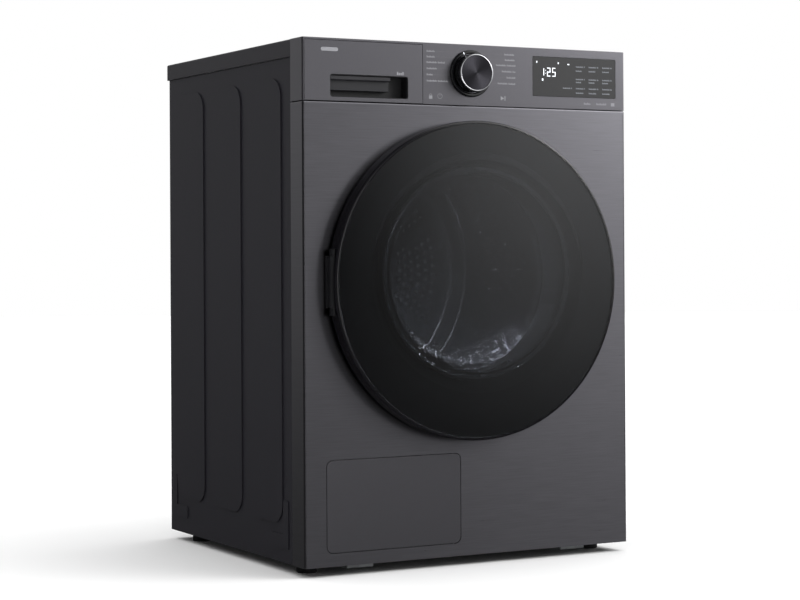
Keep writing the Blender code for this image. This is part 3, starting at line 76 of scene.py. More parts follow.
def add_node(tree: bpy.types.NodeTree, kind: str, settings: dict | None = None,
             values: dict | None = None, links: dict | None = None) -> bpy.types.Node:
    """Add a node with its settings, socket values and incoming links.

    Args:
        tree: the node tree to add to.
        kind: the node's type name.
        settings: attributes of the node itself.
        values: input sockets and the values they hold.
        links: input sockets and the output sockets that feed them.

    Returns:
        The new node.
    """
    made = tree.nodes.new(kind)
    for key, value in (settings or {}).items():
        setattr(made, key, value)
    for key, value in (values or {}).items():
        made.inputs[key].default_value = value
    for key, source in (links or {}).items():
        tree.links.new(source, made.inputs[key])
    return made


class Texture(Enum):
    """How a surface was made, which decides its pattern."""

    BRUSHED = "long straight grinding lines"
    SPUN = "turning lines round the piece's own axis"
    MOULDED = "spark-eroded mould texture"
    PAINTED = "sprayed paint with slight orange peel"
    SPANGLE = "zinc crystals"
    FELTED = "matted fibres"
    POLISHED = "smooth, with only the faintest waviness"


@dataclass(frozen=True)
class Finish:
    """One real material with its surface.

    Attributes:
        name: the real material and how it was made.
        slot: the record's material slot; not used.
        colour: its main colour, sRGB hex.
        second: the colour its pattern drifts to, sRGB hex.
        roughness: the middle of its roughness.
        texture: how the surface was made.
        grain: size of the pattern along x, y and z, in mm.
        relief: height of the pattern, in mm.
        swing: how far roughness drifts each way.
        metallic: 1 for bare metal.
        ior: refractive index of a non-metal.
        coat: weight of a clear layer over it.
        transmission: 1 for glass.
        anisotropy: stretch of highlights on turned or brushed metal.
        glow: strength of its own light.
    """

    name: str
    slot: str
    colour: str
    second: str
    roughness: float
    texture: Texture
    grain: Point = (1.0, 1.0, 1.0)
    relief: float = 0.02
    swing: float = 0.04
    metallic: float = 0.0
    ior: float = 1.5
    coat: float = 0.0
    transmission: float = 0.0
    anisotropy: float = 0.0
    glow: float = 0.0

    def pattern(self, tree: bpy.types.NodeTree) -> bpy.types.NodeSocket:
        """Build the grey pattern of this finish.

        Args:
            tree: the material's node tree.

        Returns:
            The socket that carries the pattern, 0 to 1.
        """
        place = add_node(tree, "ShaderNodeTexCoord").outputs["Object"]
        size = [1 / (g * MM) for g in self.grain]
        spread = add_node(tree, "ShaderNodeMapping", values={"Scale": size}, links={"Vector": place})
        vector = spread.outputs["Vector"]
        if self.texture is Texture.SPANGLE:
            return add_node(tree, "ShaderNodeTexVoronoi", values={"Scale": 1.0, "Randomness": 1.0},
                            links={"Vector": vector}).outputs["Color"]
        detail = 6.0 if self.texture is Texture.FELTED else 3.0
        return add_node(tree, "ShaderNodeTexNoise", links={"Vector": vector},
                        values={"Scale": 1.0, "Detail": detail, "Roughness": 0.6}).outputs["Fac"]

    def material(self) -> bpy.types.Material:
        """Build the node material.

        Returns:
            The finished material.
        """
        made = bpy.data.materials.new(self.name)
        made.use_nodes = True
        tree = made.node_tree
        shader = tree.nodes["Principled BSDF"]
        pattern = self.pattern(tree)
        # a mix node has one set of sockets for each data type, so the colour ones go by place
        tint = add_node(tree, "ShaderNodeMix", {"data_type": "RGBA"},
                        {6: linear(self.colour), 7: linear(self.second)}, {"Factor": pattern})
        tree.links.new(tint.outputs[2], shader.inputs["Base Color"])
        rough = add_node(tree, "ShaderNodeMapRange", values={
            "To Min": max(self.roughness - self.swing, 0.0), "To Max": min(self.roughness + self.swing, 1.0)},
            links={"Value": pattern})
        tree.links.new(rough.outputs["Result"], shader.inputs["Roughness"])
        if self.relief:
            bump = add_node(tree, "ShaderNodeBump", values={"Strength": 1.0, "Distance": self.relief * MM},
                            links={"Height": pattern})
            tree.links.new(bump.outputs["Normal"], shader.inputs["Normal"])
        if self.texture is Texture.SPUN:
            lines = add_node(tree, "ShaderNodeTangent", {"direction_type": "RADIAL", "axis": "Y"})
            tree.links.new(lines.outputs["Tangent"], shader.inputs["Tangent"])
        constant = {"Metallic": self.metallic, "Coat Weight": self.coat,
                    "Transmission Weight": self.transmission, "Anisotropic": self.anisotropy,
                    "Anisotropic Rotation": 0.25 if self.texture is Texture.BRUSHED else 0.0,
                    "Coat Roughness": 0.05}
        if not self.metallic:
            constant["IOR"] = self.ior
        if self.glow:
            constant["Emission Color"] = linear(self.colour)
            constant["Emission Strength"] = self.glow
        for socket, value in constant.items():
            shader.inputs[socket].default_value = value
        return made


# Dark stainless sheet, ground in long horizontal lines under a smoke tint: soft wide highlights
# that smear up and down. Real grit lines are 0.1 mm; they are drawn 1.6 mm high so that they show.
BRUSHED_STEEL = Finish("Smoked stainless steel, brushed", "brushed_dark_steel", "#77767b", "#8b8a90", 0.30,
                       Texture.BRUSHED, (55.0, 55.0, 1.3), 0.003, 0.05, metallic=1.0, anisotropy=0.45)
# Metallic-lacquered ABS: the same grey with no grain, a satin sheen from the lacquer.
FASCIA = Finish("Metallic lacquered ABS, satin", "fascia_plastic", "#706f74", "#747378", 0.30,
                Texture.PAINTED, (3.0, 3.0, 3.0), 0.001, 0.02, metallic=0.9)
# Pre-painted steel: charcoal, semi-matt, slight orange peel about 3 mm across.
SIDE_PAINT = Finish("Steel, charcoal powder coat", "dark_paint", "#232228", "#26252b", 0.50,
                    Texture.PAINTED, (3.5, 3.5, 3.5), 0.012, 0.04, ior=1.5)
# Painted moulding of the worktop: as the sides, a little lighter and finer.
TOP_PAINT = Finish("Charcoal ABS, fine-textured", "dark_paint", "#26252a", "#2a292e", 0.46,
                   Texture.MOULDED, (0.9, 0.9, 0.9), 0.02, 0.05, ior=1.53)
BLACK_GLOSS = Finish("Black ABS, high gloss", "black_gloss", "#0b0b0d", "#101013", 0.12,
                     Texture.POLISHED, (30.0, 30.0, 30.0), 0.004, 0.02, ior=1.53, coat=0.4)
RING_GLOSS = Finish("Black ABS ring, semi-gloss", "black_gloss", "#0d0c10", "#111014", 0.20,
                    Texture.POLISHED, (60.0, 60.0, 60.0), 0.0, 0.02, ior=1.53, coat=0.3)
# Toughened soda-lime glass with a smoke tint: one clean reflection over a dim view.
SMOKED_GLASS = Finish("Toughened glass, smoked", "door_glass", "#a4a7ad", "#a6a9af", 0.015,
                      Texture.POLISHED, (200.0, 200.0, 200.0), 0.0, 0.005, ior=1.5, transmission=1.0)
BOWL_GLASS = Finish("Pressed borosilicate glass", "clear_glass", "#eef3f4", "#f2f6f7", 0.02,
                    Texture.POLISHED, (80.0, 80.0, 80.0), 0.03, 0.01, ior=1.47, transmission=1.0)
# Black ceramic print on the door glass; also the black discs on the drum back, painted shade in place of
# holes.
PRINT_AND_HOLE_SHADE = Finish("Black ceramic print, also painted hole shade", "black_gloss", "#050506", "#070708", 0.55,
                     Texture.POLISHED, (2.0, 2.0, 2.0), 0.002, 0.05)
BLACK_MOULDED = Finish("Black ABS, moulded", "black_plastic", "#17171a", "#1d1d20", 0.52,
                       Texture.MOULDED, (0.8, 0.8, 0.8), 0.03, 0.06, ior=1.53)
GREY_MOULDED = Finish("Grey polypropylene, moulded", "grey_plastic", "#85878a", "#8d8f92", 0.50,
                      Texture.MOULDED, (0.9, 0.9, 0.9), 0.03, 0.06, ior=1.49)
WHITE_MOULDED = Finish("White polypropylene, moulded", "white_plastic", "#c9cbcc", "#d3d5d6", 0.45,
                       Texture.MOULDED, (1.0, 1.0, 1.0), 0.02, 0.05, ior=1.49)
ZINC_SHEET = Finish("Galvanised steel, spangled", "galvanised_steel", "#8f9295", "#b3b6b8", 0.46,
                    Texture.SPANGLE, (9.0, 9.0, 9.0), 0.003, 0.08, metallic=1.0)
DRUM_STEEL = Finish("Stainless steel, rolled", "stainless_steel", "#68686c", "#717175", 0.18,
                    Texture.BRUSHED, (60.0, 1.2, 60.0), 0.004, 0.05, metallic=1.0)
# The shell's own stainless, drawn lighter than the shell so that the dimples show as bright dots: painted
# glints.
DIMPLE_GLINT_STEEL = Finish("Stainless steel, lightened as painted glints", "stainless_steel", "#a4a4a8", "#acacb0", 0.12,
                      Texture.POLISHED, (10.0, 10.0, 10.0), 0.0, 0.02, metallic=1.0)
SHAFT_STEEL = Finish("Steel, ground", "stainless_steel", "#8e8e90", "#a2a2a4", 0.28,
                     Texture.BRUSHED, (20.0, 0.5, 20.0), 0.003, 0.05, metallic=1.0)
KNOB_FACE = Finish("Aluminium, spun and dark anodised", "stainless_steel", "#3a393e", "#444348", 0.26,
                   Texture.SPUN, (0.6, 20.0, 0.6), 0.0, 0.03, metallic=1.0, anisotropy=0.9)
CHROME = Finish("ABS, chrome plated", "stainless_steel", "#d8d8dc", "#e0e0e4", 0.12,
                Texture.POLISHED, (20.0, 20.0, 20.0), 0.001, 0.02, metallic=1.0)
ALUMINIUM_FINS = Finish("Aluminium fin stock", "aluminium", "#b4b6b8", "#c2c4c6", 0.38,
                        Texture.BRUSHED, (1.2, 40.0, 40.0), 0.05, 0.06, metallic=1.0)
ALUMINIUM_CAST = Finish("Aluminium, die cast", "aluminium", "#9c9ea0", "#adafb1", 0.48,
                        Texture.MOULDED, (1.2, 1.2, 1.2), 0.03, 0.06, metallic=1.0)
RUBBER = Finish("EPDM rubber, matt", "black_rubber", "#131315", "#1a1a1c", 0.78,
                Texture.MOULDED, (0.7, 0.7, 0.7), 0.04, 0.06, ior=1.52)
FELT = Finish("Wool felt, grey", "grey_felt", "#6b6b6c", "#8a8a8b", 0.95,
              Texture.FELTED, (1.6, 1.6, 1.6), 0.5, 0.04, ior=1.5)
CIRCUIT = Finish("Glass-epoxy board, green mask", "green_board", "#17452a", "#1d5534", 0.38,
                 Texture.MOULDED, (2.5, 2.5, 2.5), 0.02, 0.08, ior=1.55)
FILTER_MESH = Finish("Polyester mesh, woven", "grey_plastic", "#3a3d42", "#6f7378", 0.70,
                     Texture.FELTED, (0.9, 0.9, 0.9), 0.15, 0.05)
LEGEND_INK = Finish("Screen ink, pale grey", "white_plastic", "#8f8f94", "#97979c", 0.60,
                    Texture.PAINTED, (1.0, 1.0, 1.0), 0.001, 0.03)
LINE_INK = Finish("Screen ink, mid grey", "white_plastic", "#6c6b70", "#727176", 0.60,
                  Texture.PAINTED, (1.0, 1.0, 1.0), 0.001, 0.03)
LAMP_INK = Finish("Light guide, lit white", "white_plastic", "#e8ecf2", "#eef2f8", 0.50,
                  Texture.PAINTED, (1.0, 1.0, 1.0), 0.0, 0.03, glow=1.1)
FAINT_LAMP = Finish("Light guide, dimmed", "white_plastic", "#6d7076", "#74777d", 0.50,
                    Texture.PAINTED, (1.0, 1.0, 1.0), 0.0, 0.03, glow=0.5)
# The hinge strap is drawn near-black because it sits in the ring's shadow: painted shade on steel.
HINGE_SHADE_STEEL = Finish("Steel, blackened as painted shade", "dark_paint", "#111114", "#16161a", 0.42,
                      Texture.PAINTED, (2.0, 2.0, 2.0), 0.004, 0.04)
DARK_MOULDED = Finish("Charcoal polypropylene, moulded", "grey_plastic", "#232327", "#29292d", 0.48,
                      Texture.MOULDED, (0.9, 0.9, 0.9), 0.02, 0.05, ior=1.49)
SCREW_STEEL = Finish("Steel screw, black zinc", "black_plastic", "#2b2b2e", "#38383b", 0.35,
                     Texture.MOULDED, (0.8, 0.8, 0.8), 0.01, 0.06, metallic=1.0)


class Dresser:
    """Gives finished pieces their material and body, and keeps one material per finish."""

    def __init__(self) -> None:
        """Start with no material made."""
        self.made: dict[str, bpy.types.Material] = {}

    def material(self, finish: Finish) -> bpy.types.Material:
        """The material of a finish, built the first time it is asked for."""
        if finish.name not in self.made:
            self.made[finish.name] = finish.material()
        return self.made[finish.name]

    def dress(self, piece: bpy.types.Object, finish: Finish, body: str, *nodes: str) -> bpy.types.Object:
        """Finish a piece and hang it on its body.

        Args:
            piece: the piece, in place.
            finish: what it is made of.
            body: the body it moves with.
            nodes: the CAD nodes it stands for.

        Returns:
            The same piece.
        """
        piece.data.materials.clear()
        piece.data.materials.append(self.material(finish))
        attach(piece, body)
        if nodes:
            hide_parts(*nodes)
        LOG.info("%s: %s, %d faces, on %s", piece.name, finish.name, len(piece.data.polygons), body)
        return piece

    def carry(self, finish: Finish, *nodes: str) -> None:
        """Give CAD nodes that stay in view their material.

        Args:
            finish: what they are made of.
            nodes: their names.
        """
        for name in nodes:
            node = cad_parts[name]
            node.data.materials.clear()
            node.data.materials.append(self.material(finish))
            LOG.info("%s stays, in %s", name, finish.name)


# ---------------------------------------------------------------- modelling by hand


def begin() -> None:
    """Leave edit mode and deselect everything, so that an operator touches only its own piece."""
    if bpy.context.mode != "OBJECT":
        bpy.ops.object.mode_set(mode="OBJECT")
    bpy.ops.object.select_all(action="DESELECT")


def pick(piece: bpy.types.Object) -> None:
    """Select this piece alone and make it active."""
    begin()
    piece.select_set(True)
    bpy.context.view_layer.objects.active = piece


def settle(name: str) -> bpy.types.Object:
    """Name the active piece and put its place into its mesh.

    Args:
        name: the piece's name.

    Returns:
        The piece, at the origin, unturned and unscaled.
    """
    if bpy.context.mode != "OBJECT":
        bpy.ops.object.mode_set(mode="OBJECT")
    piece = bpy.context.active_object
    piece.name = piece.data.name = name
    bpy.ops.object.transform_apply(location=True, rotation=True, scale=True)
    return piece


def block(name: str, low: Point, high: Point) -> bpy.types.Object:
    """A cube primitive pulled to two corners, the start of a piece or a cutter.

    Args:
        name: the piece's name.
        low: its lowest corner.
        high: its highest corner.

    Returns:
        The block.
    """
    begin()
    middle = [(a + b) / 2 for a, b in zip(low, high)]
    bpy.ops.mesh.primitive_cube_add(size=1.0, location=middle)
    bpy.context.active_object.scale = [b - a for a, b in zip(low, high)]
    return settle(name)


def bevel_where(piece: bpy.types.Object, width: float, segments: int, chosen) -> bpy.types.Object:
    """Round the edges that a test picks.

    Args:
        piece: the piece to round.
        width: radius of the rounding.
        segments: steps of the rounding.
        chosen: a test of an edge's middle point and its direction.

    Returns:
        The same piece.
    """
    pick(piece)
    bpy.ops.object.mode_set(mode="EDIT")
    bpy.ops.mesh.select_all(action="DESELECT")
    bpy.ops.mesh.select_mode(type="EDGE")
    bpy.ops.object.mode_set(mode="OBJECT")
    points = piece.data.vertices
    for edge in piece.data.edges:
        a, b = (points[i].co for i in edge.vertices)
        edge.select = bool(chosen((a + b) / 2, (b - a).normalized()))
    bpy.ops.object.mode_set(mode="EDIT")
    bpy.ops.mesh.bevel(offset=width, segments=segments, affect="EDGES", clamp_overlap=True)
    bpy.ops.object.mode_set(mode="OBJECT")
    return piece


def slab(name: str, xs: tuple[float, float], depths: tuple[float, float], zs: tuple[float, float],
         corner: float, steps: int = 8) -> bpy.types.Object:
    """A plate that faces the front, with round corners.

    Args:
        name: the piece's name.
        xs: its left and right.
        depths: its front and back depth.
        zs: its bottom and top.
        corner: radius of its corners.
        steps: steps of each corner.

    Returns:
        The plate.
    """
    made = block(name, (xs[0], at(depths[0]), zs[0]), (xs[1], at(depths[1]), zs[1]))
    return bevel_where(made, corner, steps, lambda middle, way: abs(way.y) > 0.99)


def turn(name: str, profile: Profile, x: float, z: float, steps: int = 96,
         ring: bool = False) -> bpy.types.Object:
    """A turned piece whose axis runs front to back: a circle, extruded and resized along its profile.

    Args:
        name: the piece's name.
        profile: (radius, depth) of each step.
        x: its axis, across.
        z: its axis, up.
        steps: sides of the circle.
        ring: true for a closed section that comes back to its start, false for a solid with flat ends.

    Returns:
        The turned piece.
    """
    begin()
    radius, depth = profile[0]
    bpy.ops.mesh.primitive_circle_add(vertices=steps, radius=radius, fill_type="NOTHING" if ring else "NGON",
                                      location=(x, at(depth), z), rotation=(math.pi / 2, 0, 0))
    settle(name)
    bpy.ops.object.mode_set(mode="EDIT")
    bpy.ops.mesh.select_all(action="SELECT")
    path = profile[1:] + profile[:1] if ring else profile[1:]
    for wide, deep in path:
        if ring:
            bpy.ops.mesh.extrude_edges_move(TRANSFORM_OT_translate={"value": (0, deep - depth, 0)})
        else:
            bpy.ops.mesh.extrude_region_move(TRANSFORM_OT_translate={"value": (0, deep - depth, 0)})
        factor = wide / radius
        bpy.ops.transform.resize(value=(factor, 1, factor), center_override=(x, at(deep), z))
        radius, depth = wide, deep
    bpy.ops.mesh.select_all(action="SELECT")
    bpy.ops.mesh.remove_doubles(threshold=0.000002)
    bpy.ops.mesh.normals_make_consistent(inside=False)
    return settle(name)


def post(name: str, profile: Profile, x: float, y: float, steps: int = 48) -> bpy.types.Object:
    """A turned solid that stands upright.

    Args:
        name: the piece's name.
        profile: (radius, z) of each step.
        x: its axis, across.
        y: its axis, front to back.
        steps: sides of the circle.

    Returns:
        The turned piece.
    """
    begin()
    radius, level = profile[0]
    bpy.ops.mesh.primitive_circle_add(vertices=steps, radius=radius, fill_type="NGON", location=(x, y, level))
    settle(name)
    bpy.ops.object.mode_set(mode="EDIT")
    bpy.ops.mesh.select_all(action="SELECT")
    for wide, high in profile[1:]:
        bpy.ops.mesh.extrude_region_move(TRANSFORM_OT_translate={"value": (0, 0, high - level)})
        bpy.ops.transform.resize(value=(wide / radius, wide / radius, 1), center_override=(x, y, high))
        radius, level = wide, high
    bpy.ops.mesh.select_all(action="SELECT")
    bpy.ops.mesh.normals_make_consistent(inside=False)
    return settle(name)


def combine(piece: bpy.types.Object, tool: bpy.types.Object, how: str = "DIFFERENCE") -> bpy.types.Object:
    """Cut a tool out of a piece, or weld it on, and throw the tool away.

    Args:
        piece: the piece that stays.
        tool: the cutter or addition.
        how: DIFFERENCE or UNION.

    Returns:
        The same piece.
    """
    step = piece.modifiers.new(tool.name, "BOOLEAN")
    step.object = tool
    step.operation = how
    step.solver = "EXACT"
    pick(piece)
    bpy.ops.object.modifier_apply(modifier=step.name)
    bpy.data.objects.remove(tool, do_unlink=True)
    return piece


def soften(piece: bpy.types.Object, width: float, segments: int = 2, angle: float = 35.0) -> bpy.types.Object:
    """Break the sharp edges of a piece and shade it smooth.

    Args:
        piece: the piece.
        width: radius on its edges.
        segments: steps of the rounding.
        angle: least angle of an edge that is rounded, in degrees.

    Returns:
        The same piece.
    """
    pick(piece)
    if width:
        step = piece.modifiers.new("edges", "BEVEL")
        step.width = width
        step.segments = segments
        step.limit_method = "ANGLE"
        step.angle_limit = math.radians(angle)
        step.use_clamp_overlap = True
        bpy.ops.object.modifier_apply(modifier=step.name)
    bpy.ops.object.shade_smooth_by_angle(angle=math.radians(max(angle, 30.0)))
    even = piece.modifiers.new("even shading", "WEIGHTED_NORMAL")
    even.keep_sharp = True
    bpy.ops.object.modifier_apply(modifier=even.name)
    return piece


def gather(name: str, pieces: list[bpy.types.Object]) -> bpy.types.Object:
    """Join pieces into one.

    Args:
        name: the name of the joined piece.
        pieces: what is joined.

    Returns:
        The joined piece.
    """
    begin()
    for piece in pieces:
        piece.select_set(True)
    bpy.context.view_layer.objects.active = pieces[0]
    if len(pieces) > 1:
        bpy.ops.object.join()
    return settle(name)


def repeat(piece: bpy.types.Object, places: list[Matrix], name: str) -> bpy.types.Object:
    """Copy a small piece to many places and join the copies.

    Args:
        piece: the piece, modelled once.
        places: where each copy goes.
        name: the name of the joined copies.

    Returns:
        The joined copies.
    """
    copies = []
    for place in places:
        copy = bpy.data.objects.new(name, piece.data.copy())
        copy.data.transform(place)
        bpy.context.scene.collection.objects.link(copy)
        copies.append(copy)
    bpy.data.objects.remove(piece, do_unlink=True)
    return gather(name, copies)


def refine(node: str, name: str, width: float, segments: int = 2, angle: float = 30.0) -> bpy.types.Object:
    """A copy of a CAD node with its loose triangles merged and its edges broken.

    Args:
        node: the CAD node.
        name: the copy's name.
        width: radius on its edges.
        segments: steps of the rounding.
        angle: least angle of an edge that is rounded, in degrees.

    Returns:
        The copy.
    """
    begin()
    made = bpy.data.objects.new(name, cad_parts[node].data.copy())
    made.data.materials.clear()
    bpy.context.scene.collection.objects.link(made)
    pick(made)
    bpy.ops.object.mode_set(mode="EDIT")
    bpy.ops.mesh.select_all(action="SELECT")
    bpy.ops.mesh.remove_doubles(threshold=0.00001)
    bpy.ops.mesh.dissolve_limited(angle_limit=math.radians(1.0))
    bpy.ops.object.mode_set(mode="OBJECT")
    return soften(made, width, segments, angle)


# ---------------------------------------------------------------- cabinet


@dataclass
class Cabinet:
    """Front sheet, side sheets, worktop, feet and brackets.

    Attributes:
        half: half width of the cabinet.
        wrap: how far the front sheet returns along each side.
        sheet: thickness of the sheet steel.
        bottom: underside of the sheets.
        seam: top of the front sheet.
        lip: underside of the worktop.
        top: the worktop's face.
        back: depth of the sides' rear edge.
        bend: radius of the front sheet's bends.
    """

    dresser: Dresser
    half: float = 0.300
    wrap: float = 0.046
    sheet: float = 0.001
    bottom: float = 0.016
    seam: float = 0.7497
    lip: float = 0.822
    top: float = 0.850
    back: float = 0.580
    bend: float = 0.0028
    drum_z: float = 0.477
    flap: tuple[float, float, float, float] = (-0.262, -0.021, 0.0365, 0.184)
    fields: tuple[float, ...] = (0.088, 0.253, 0.418)

    def front_sheet(self) -> None:
        """Bent front sheet, open for the door and the service flap."""
        made = block("front_sheet", (-self.half, at(0), self.bottom), (self.half, at(self.wrap), self.seam))
        bevel_where(made, self.bend, 6, lambda m, way: (abs(way.z) > 0.9 and m.y < at(0.001))
                    or (m.z > self.seam - 0.001 and (m.y < at(0.001) or abs(way.y) > 0.9)))
        hollow = block("hollow", (-self.half + self.sheet, at(self.sheet), self.bottom - 0.01),
                       (self.half - self.sheet, at(self.wrap + 0.01), self.seam - self.sheet))
        combine(made, hollow)
        combine(made, turn("door_way", [(0.190, -0.005), (0.190, 0.010)], 0, self.drum_z, 128))
        left, right, low, high = self.flap
        combine(made, slab("flap_way", (left, right), (-0.005, 0.010), (low, high), 0.011))
        combine(made, block("latch_way", (0.225, at(-0.005), 0.450), (0.239, at(0.010), 0.479)))
        for sign in (-1, 1):
            edge, width = sign * (self.half - self.bend), 0.0003
            combine(made, block("crease", (edge - width, at(-0.001), self.bottom - 0.01),
                                (edge + width, at(0.0005), self.seam + 0.01)))
        ears = [block("ear", (x, at(0.0008), 0.0435), (x + 0.006, at(0.010), 0.0535))
                for x in (-0.269, -0.020)]
        soften(made, 0.0002, 2, 40)
        self.dresser.dress(gather("front_sheet", [made] + ears), BRUSHED_STEEL, "root", "front_panel")

    def side_sheet(self, side: str, sign: int) -> None:
        """Pressed side sheet: three softly raised fields, ribs in the bottom corners, a folded rear edge.

        Args:
            side: left or right.
            sign: -1 or 1 for its side of the middle.
        """
        face, crest = 0.2975, 0.2998

        def plate(name: str, xs: tuple[float, float], depths: tuple[float, float],
                  zs: tuple[float, float]) -> bpy.types.Object:
            """A flat block on this side of the machine.

            Args:
                name: name of the block.
                xs: its two distances from the middle plane.
                depths: its front and rear depths.
                zs: its bottom and top.

            Returns:
                The block.
            """
            low, high = sorted(sign * x for x in xs)
            return block(name, (low, at(depths[0]), zs[0]), (high, at(depths[1]), zs[1]))

        def pressing(depths: tuple[float, float], zs: tuple[float, float], corner: float, rise: float,
                     slope: float) -> bpy.types.Object:
            """A raised field or rib with round corners and a soft slope all round.

            Args:
                depths: its front and rear depths.
                zs: its bottom and top.
                corner: radius of its corners.
                rise: height of its crest over the sheet.
                slope: width of its sloping edge.

            Returns:
                The pressing, ready to join to the sheet.
            """
            made = plate("pressing", (inner, face + 0.0001), depths, zs)
            bevel_where(made, corner, 12, lambda middle, way: abs(way.x) > 0.99)
            for vertex in made.data.vertices:
                vertex.select = abs(vertex.co.x) > face
            pick(made)
            bpy.ops.object.mode_set(mode="EDIT")
            bpy.ops.mesh.select_mode(type="VERT")
            bpy.ops.mesh.select_mode(type="FACE")
            for part in (0.12, 0.38, 0.38, 0.12):
                bpy.ops.mesh.inset(thickness=slope / 4, depth=(rise - 0.0001) * part)
            bpy.ops.object.mode_set(mode="OBJECT")
            return made

        made = plate(side + "_side_sheet", (face - self.sheet, face), (self.wrap + 0.0003, self.back),
                     (self.bottom, self.lip - 0.0003))
        inner = face - self.sheet / 2
        raised = [pressing((front, front + 0.124), (0.080, 0.789), 0.030, crest - face, 0.012)
                  for front in self.fields]
        ribs = ((0.066, 0.083, 0.040, 0.115), (0.066, 0.132, 0.040, 0.060),
                (0.550, 0.560, 0.044, 0.115), (0.500, 0.560, 0.044, 0.063))
        raised += [pressing((a, b), (low, high), 0.003, 0.0016, 0.004) for a, b, low, high in ribs]
        raised.append(plate("fold", (0.2815, face - 0.0005), (self.back - self.sheet, self.back - 0.0001),
                            (self.bottom + 0.001, self.lip - 0.002)))
        for tool in raised:
            combine(made, tool, "UNION")
        soften(made, 0.0, angle=30)
        self.dresser.dress(made, SIDE_PAINT, "root", side + "_side_panel")

    def worktop(self) -> None:
        """Moulded top with rounded edges and a plain lip, hollow underneath."""
        front, back = self.wrap + 0.0003, self.back + 0.005
        made = block("worktop_moulding", (-self.half, at(front), self.lip), (self.half, at(back), self.top))
        bevel_where(made, 0.003, 4, lambda m, way: m.z > self.top - 0.001)
        combine(made, block("hollow", (-0.297, at(front + 0.003), self.lip - 0.01),
                            (0.297, at(back - 0.003), self.top - 0.003)))
        combine(made, block("tank_way", (-0.297, at(front - 0.01), self.lip - 0.01),
                            (0.297, at(front + 0.01), self.top - 0.0105)))
        soften(made, 0.0006, 2, 40)
        self.dresser.dress(made, TOP_PAINT, "root", "worktop")

    def feet(self) -> None:
        """Four levelling feet: pad, stud and lock nut."""
        for row, depth in (("front", 0.070), ("rear", 0.515)):
            for side, sign in (("left", -1), ("right", 1)):
                name = f"levelling_foot_{row}_{side}"
                x, y = sign * 0.265, at(depth)
                pad = post("pad", [(0.0150, 0.0), (0.0163, 0.0012), (0.0165, 0.0025), (0.0165, 0.0088),
                                   (0.0150, 0.0112), (0.0105, 0.0128), (0.0050, 0.0130),
                                   (0.0050, 0.0460)], x, y)
                nut = post("nut", [(0.0078, 0.0132), (0.0085, 0.0138), (0.0085, 0.0150), (0.0078, 0.0156)],
                           x, y, 6)
                soften(pad, 0.0, angle=40)
                foot = gather(name + "_pad", [pad, nut])
                self.dresser.dress(foot, RUBBER, name, f"foot_{row}_{side}")

    def brackets(self) -> None:
        """Pressed brackets under the front edge."""
        for side in ("left", "right"):
            made = refine(f"front_bracket_{side}", f"front_bracket_{side}_pressing", 0.0005, 2)
            self.dresser.dress(made, ZINC_SHEET, "root", f"front_bracket_{side}")

    def flap_door(self) -> None:
        """Lacquered service flap with a rolled edge, and the stops on its lower edge."""
        made = refine("service_flap", "service_flap_skin", 0.0009, 3)
        self.dresser.dress(made, FASCIA, "flap", "service_flap")

    def build(self) -> None:
        """Make the whole cabinet."""
        self.front_sheet()
        self.side_sheet("left", -1)
        self.side_sheet("right", 1)
        self.worktop()
        self.feet()
        self.brackets()
        self.flap_door()


# ---------------------------------------------------------------- control panel


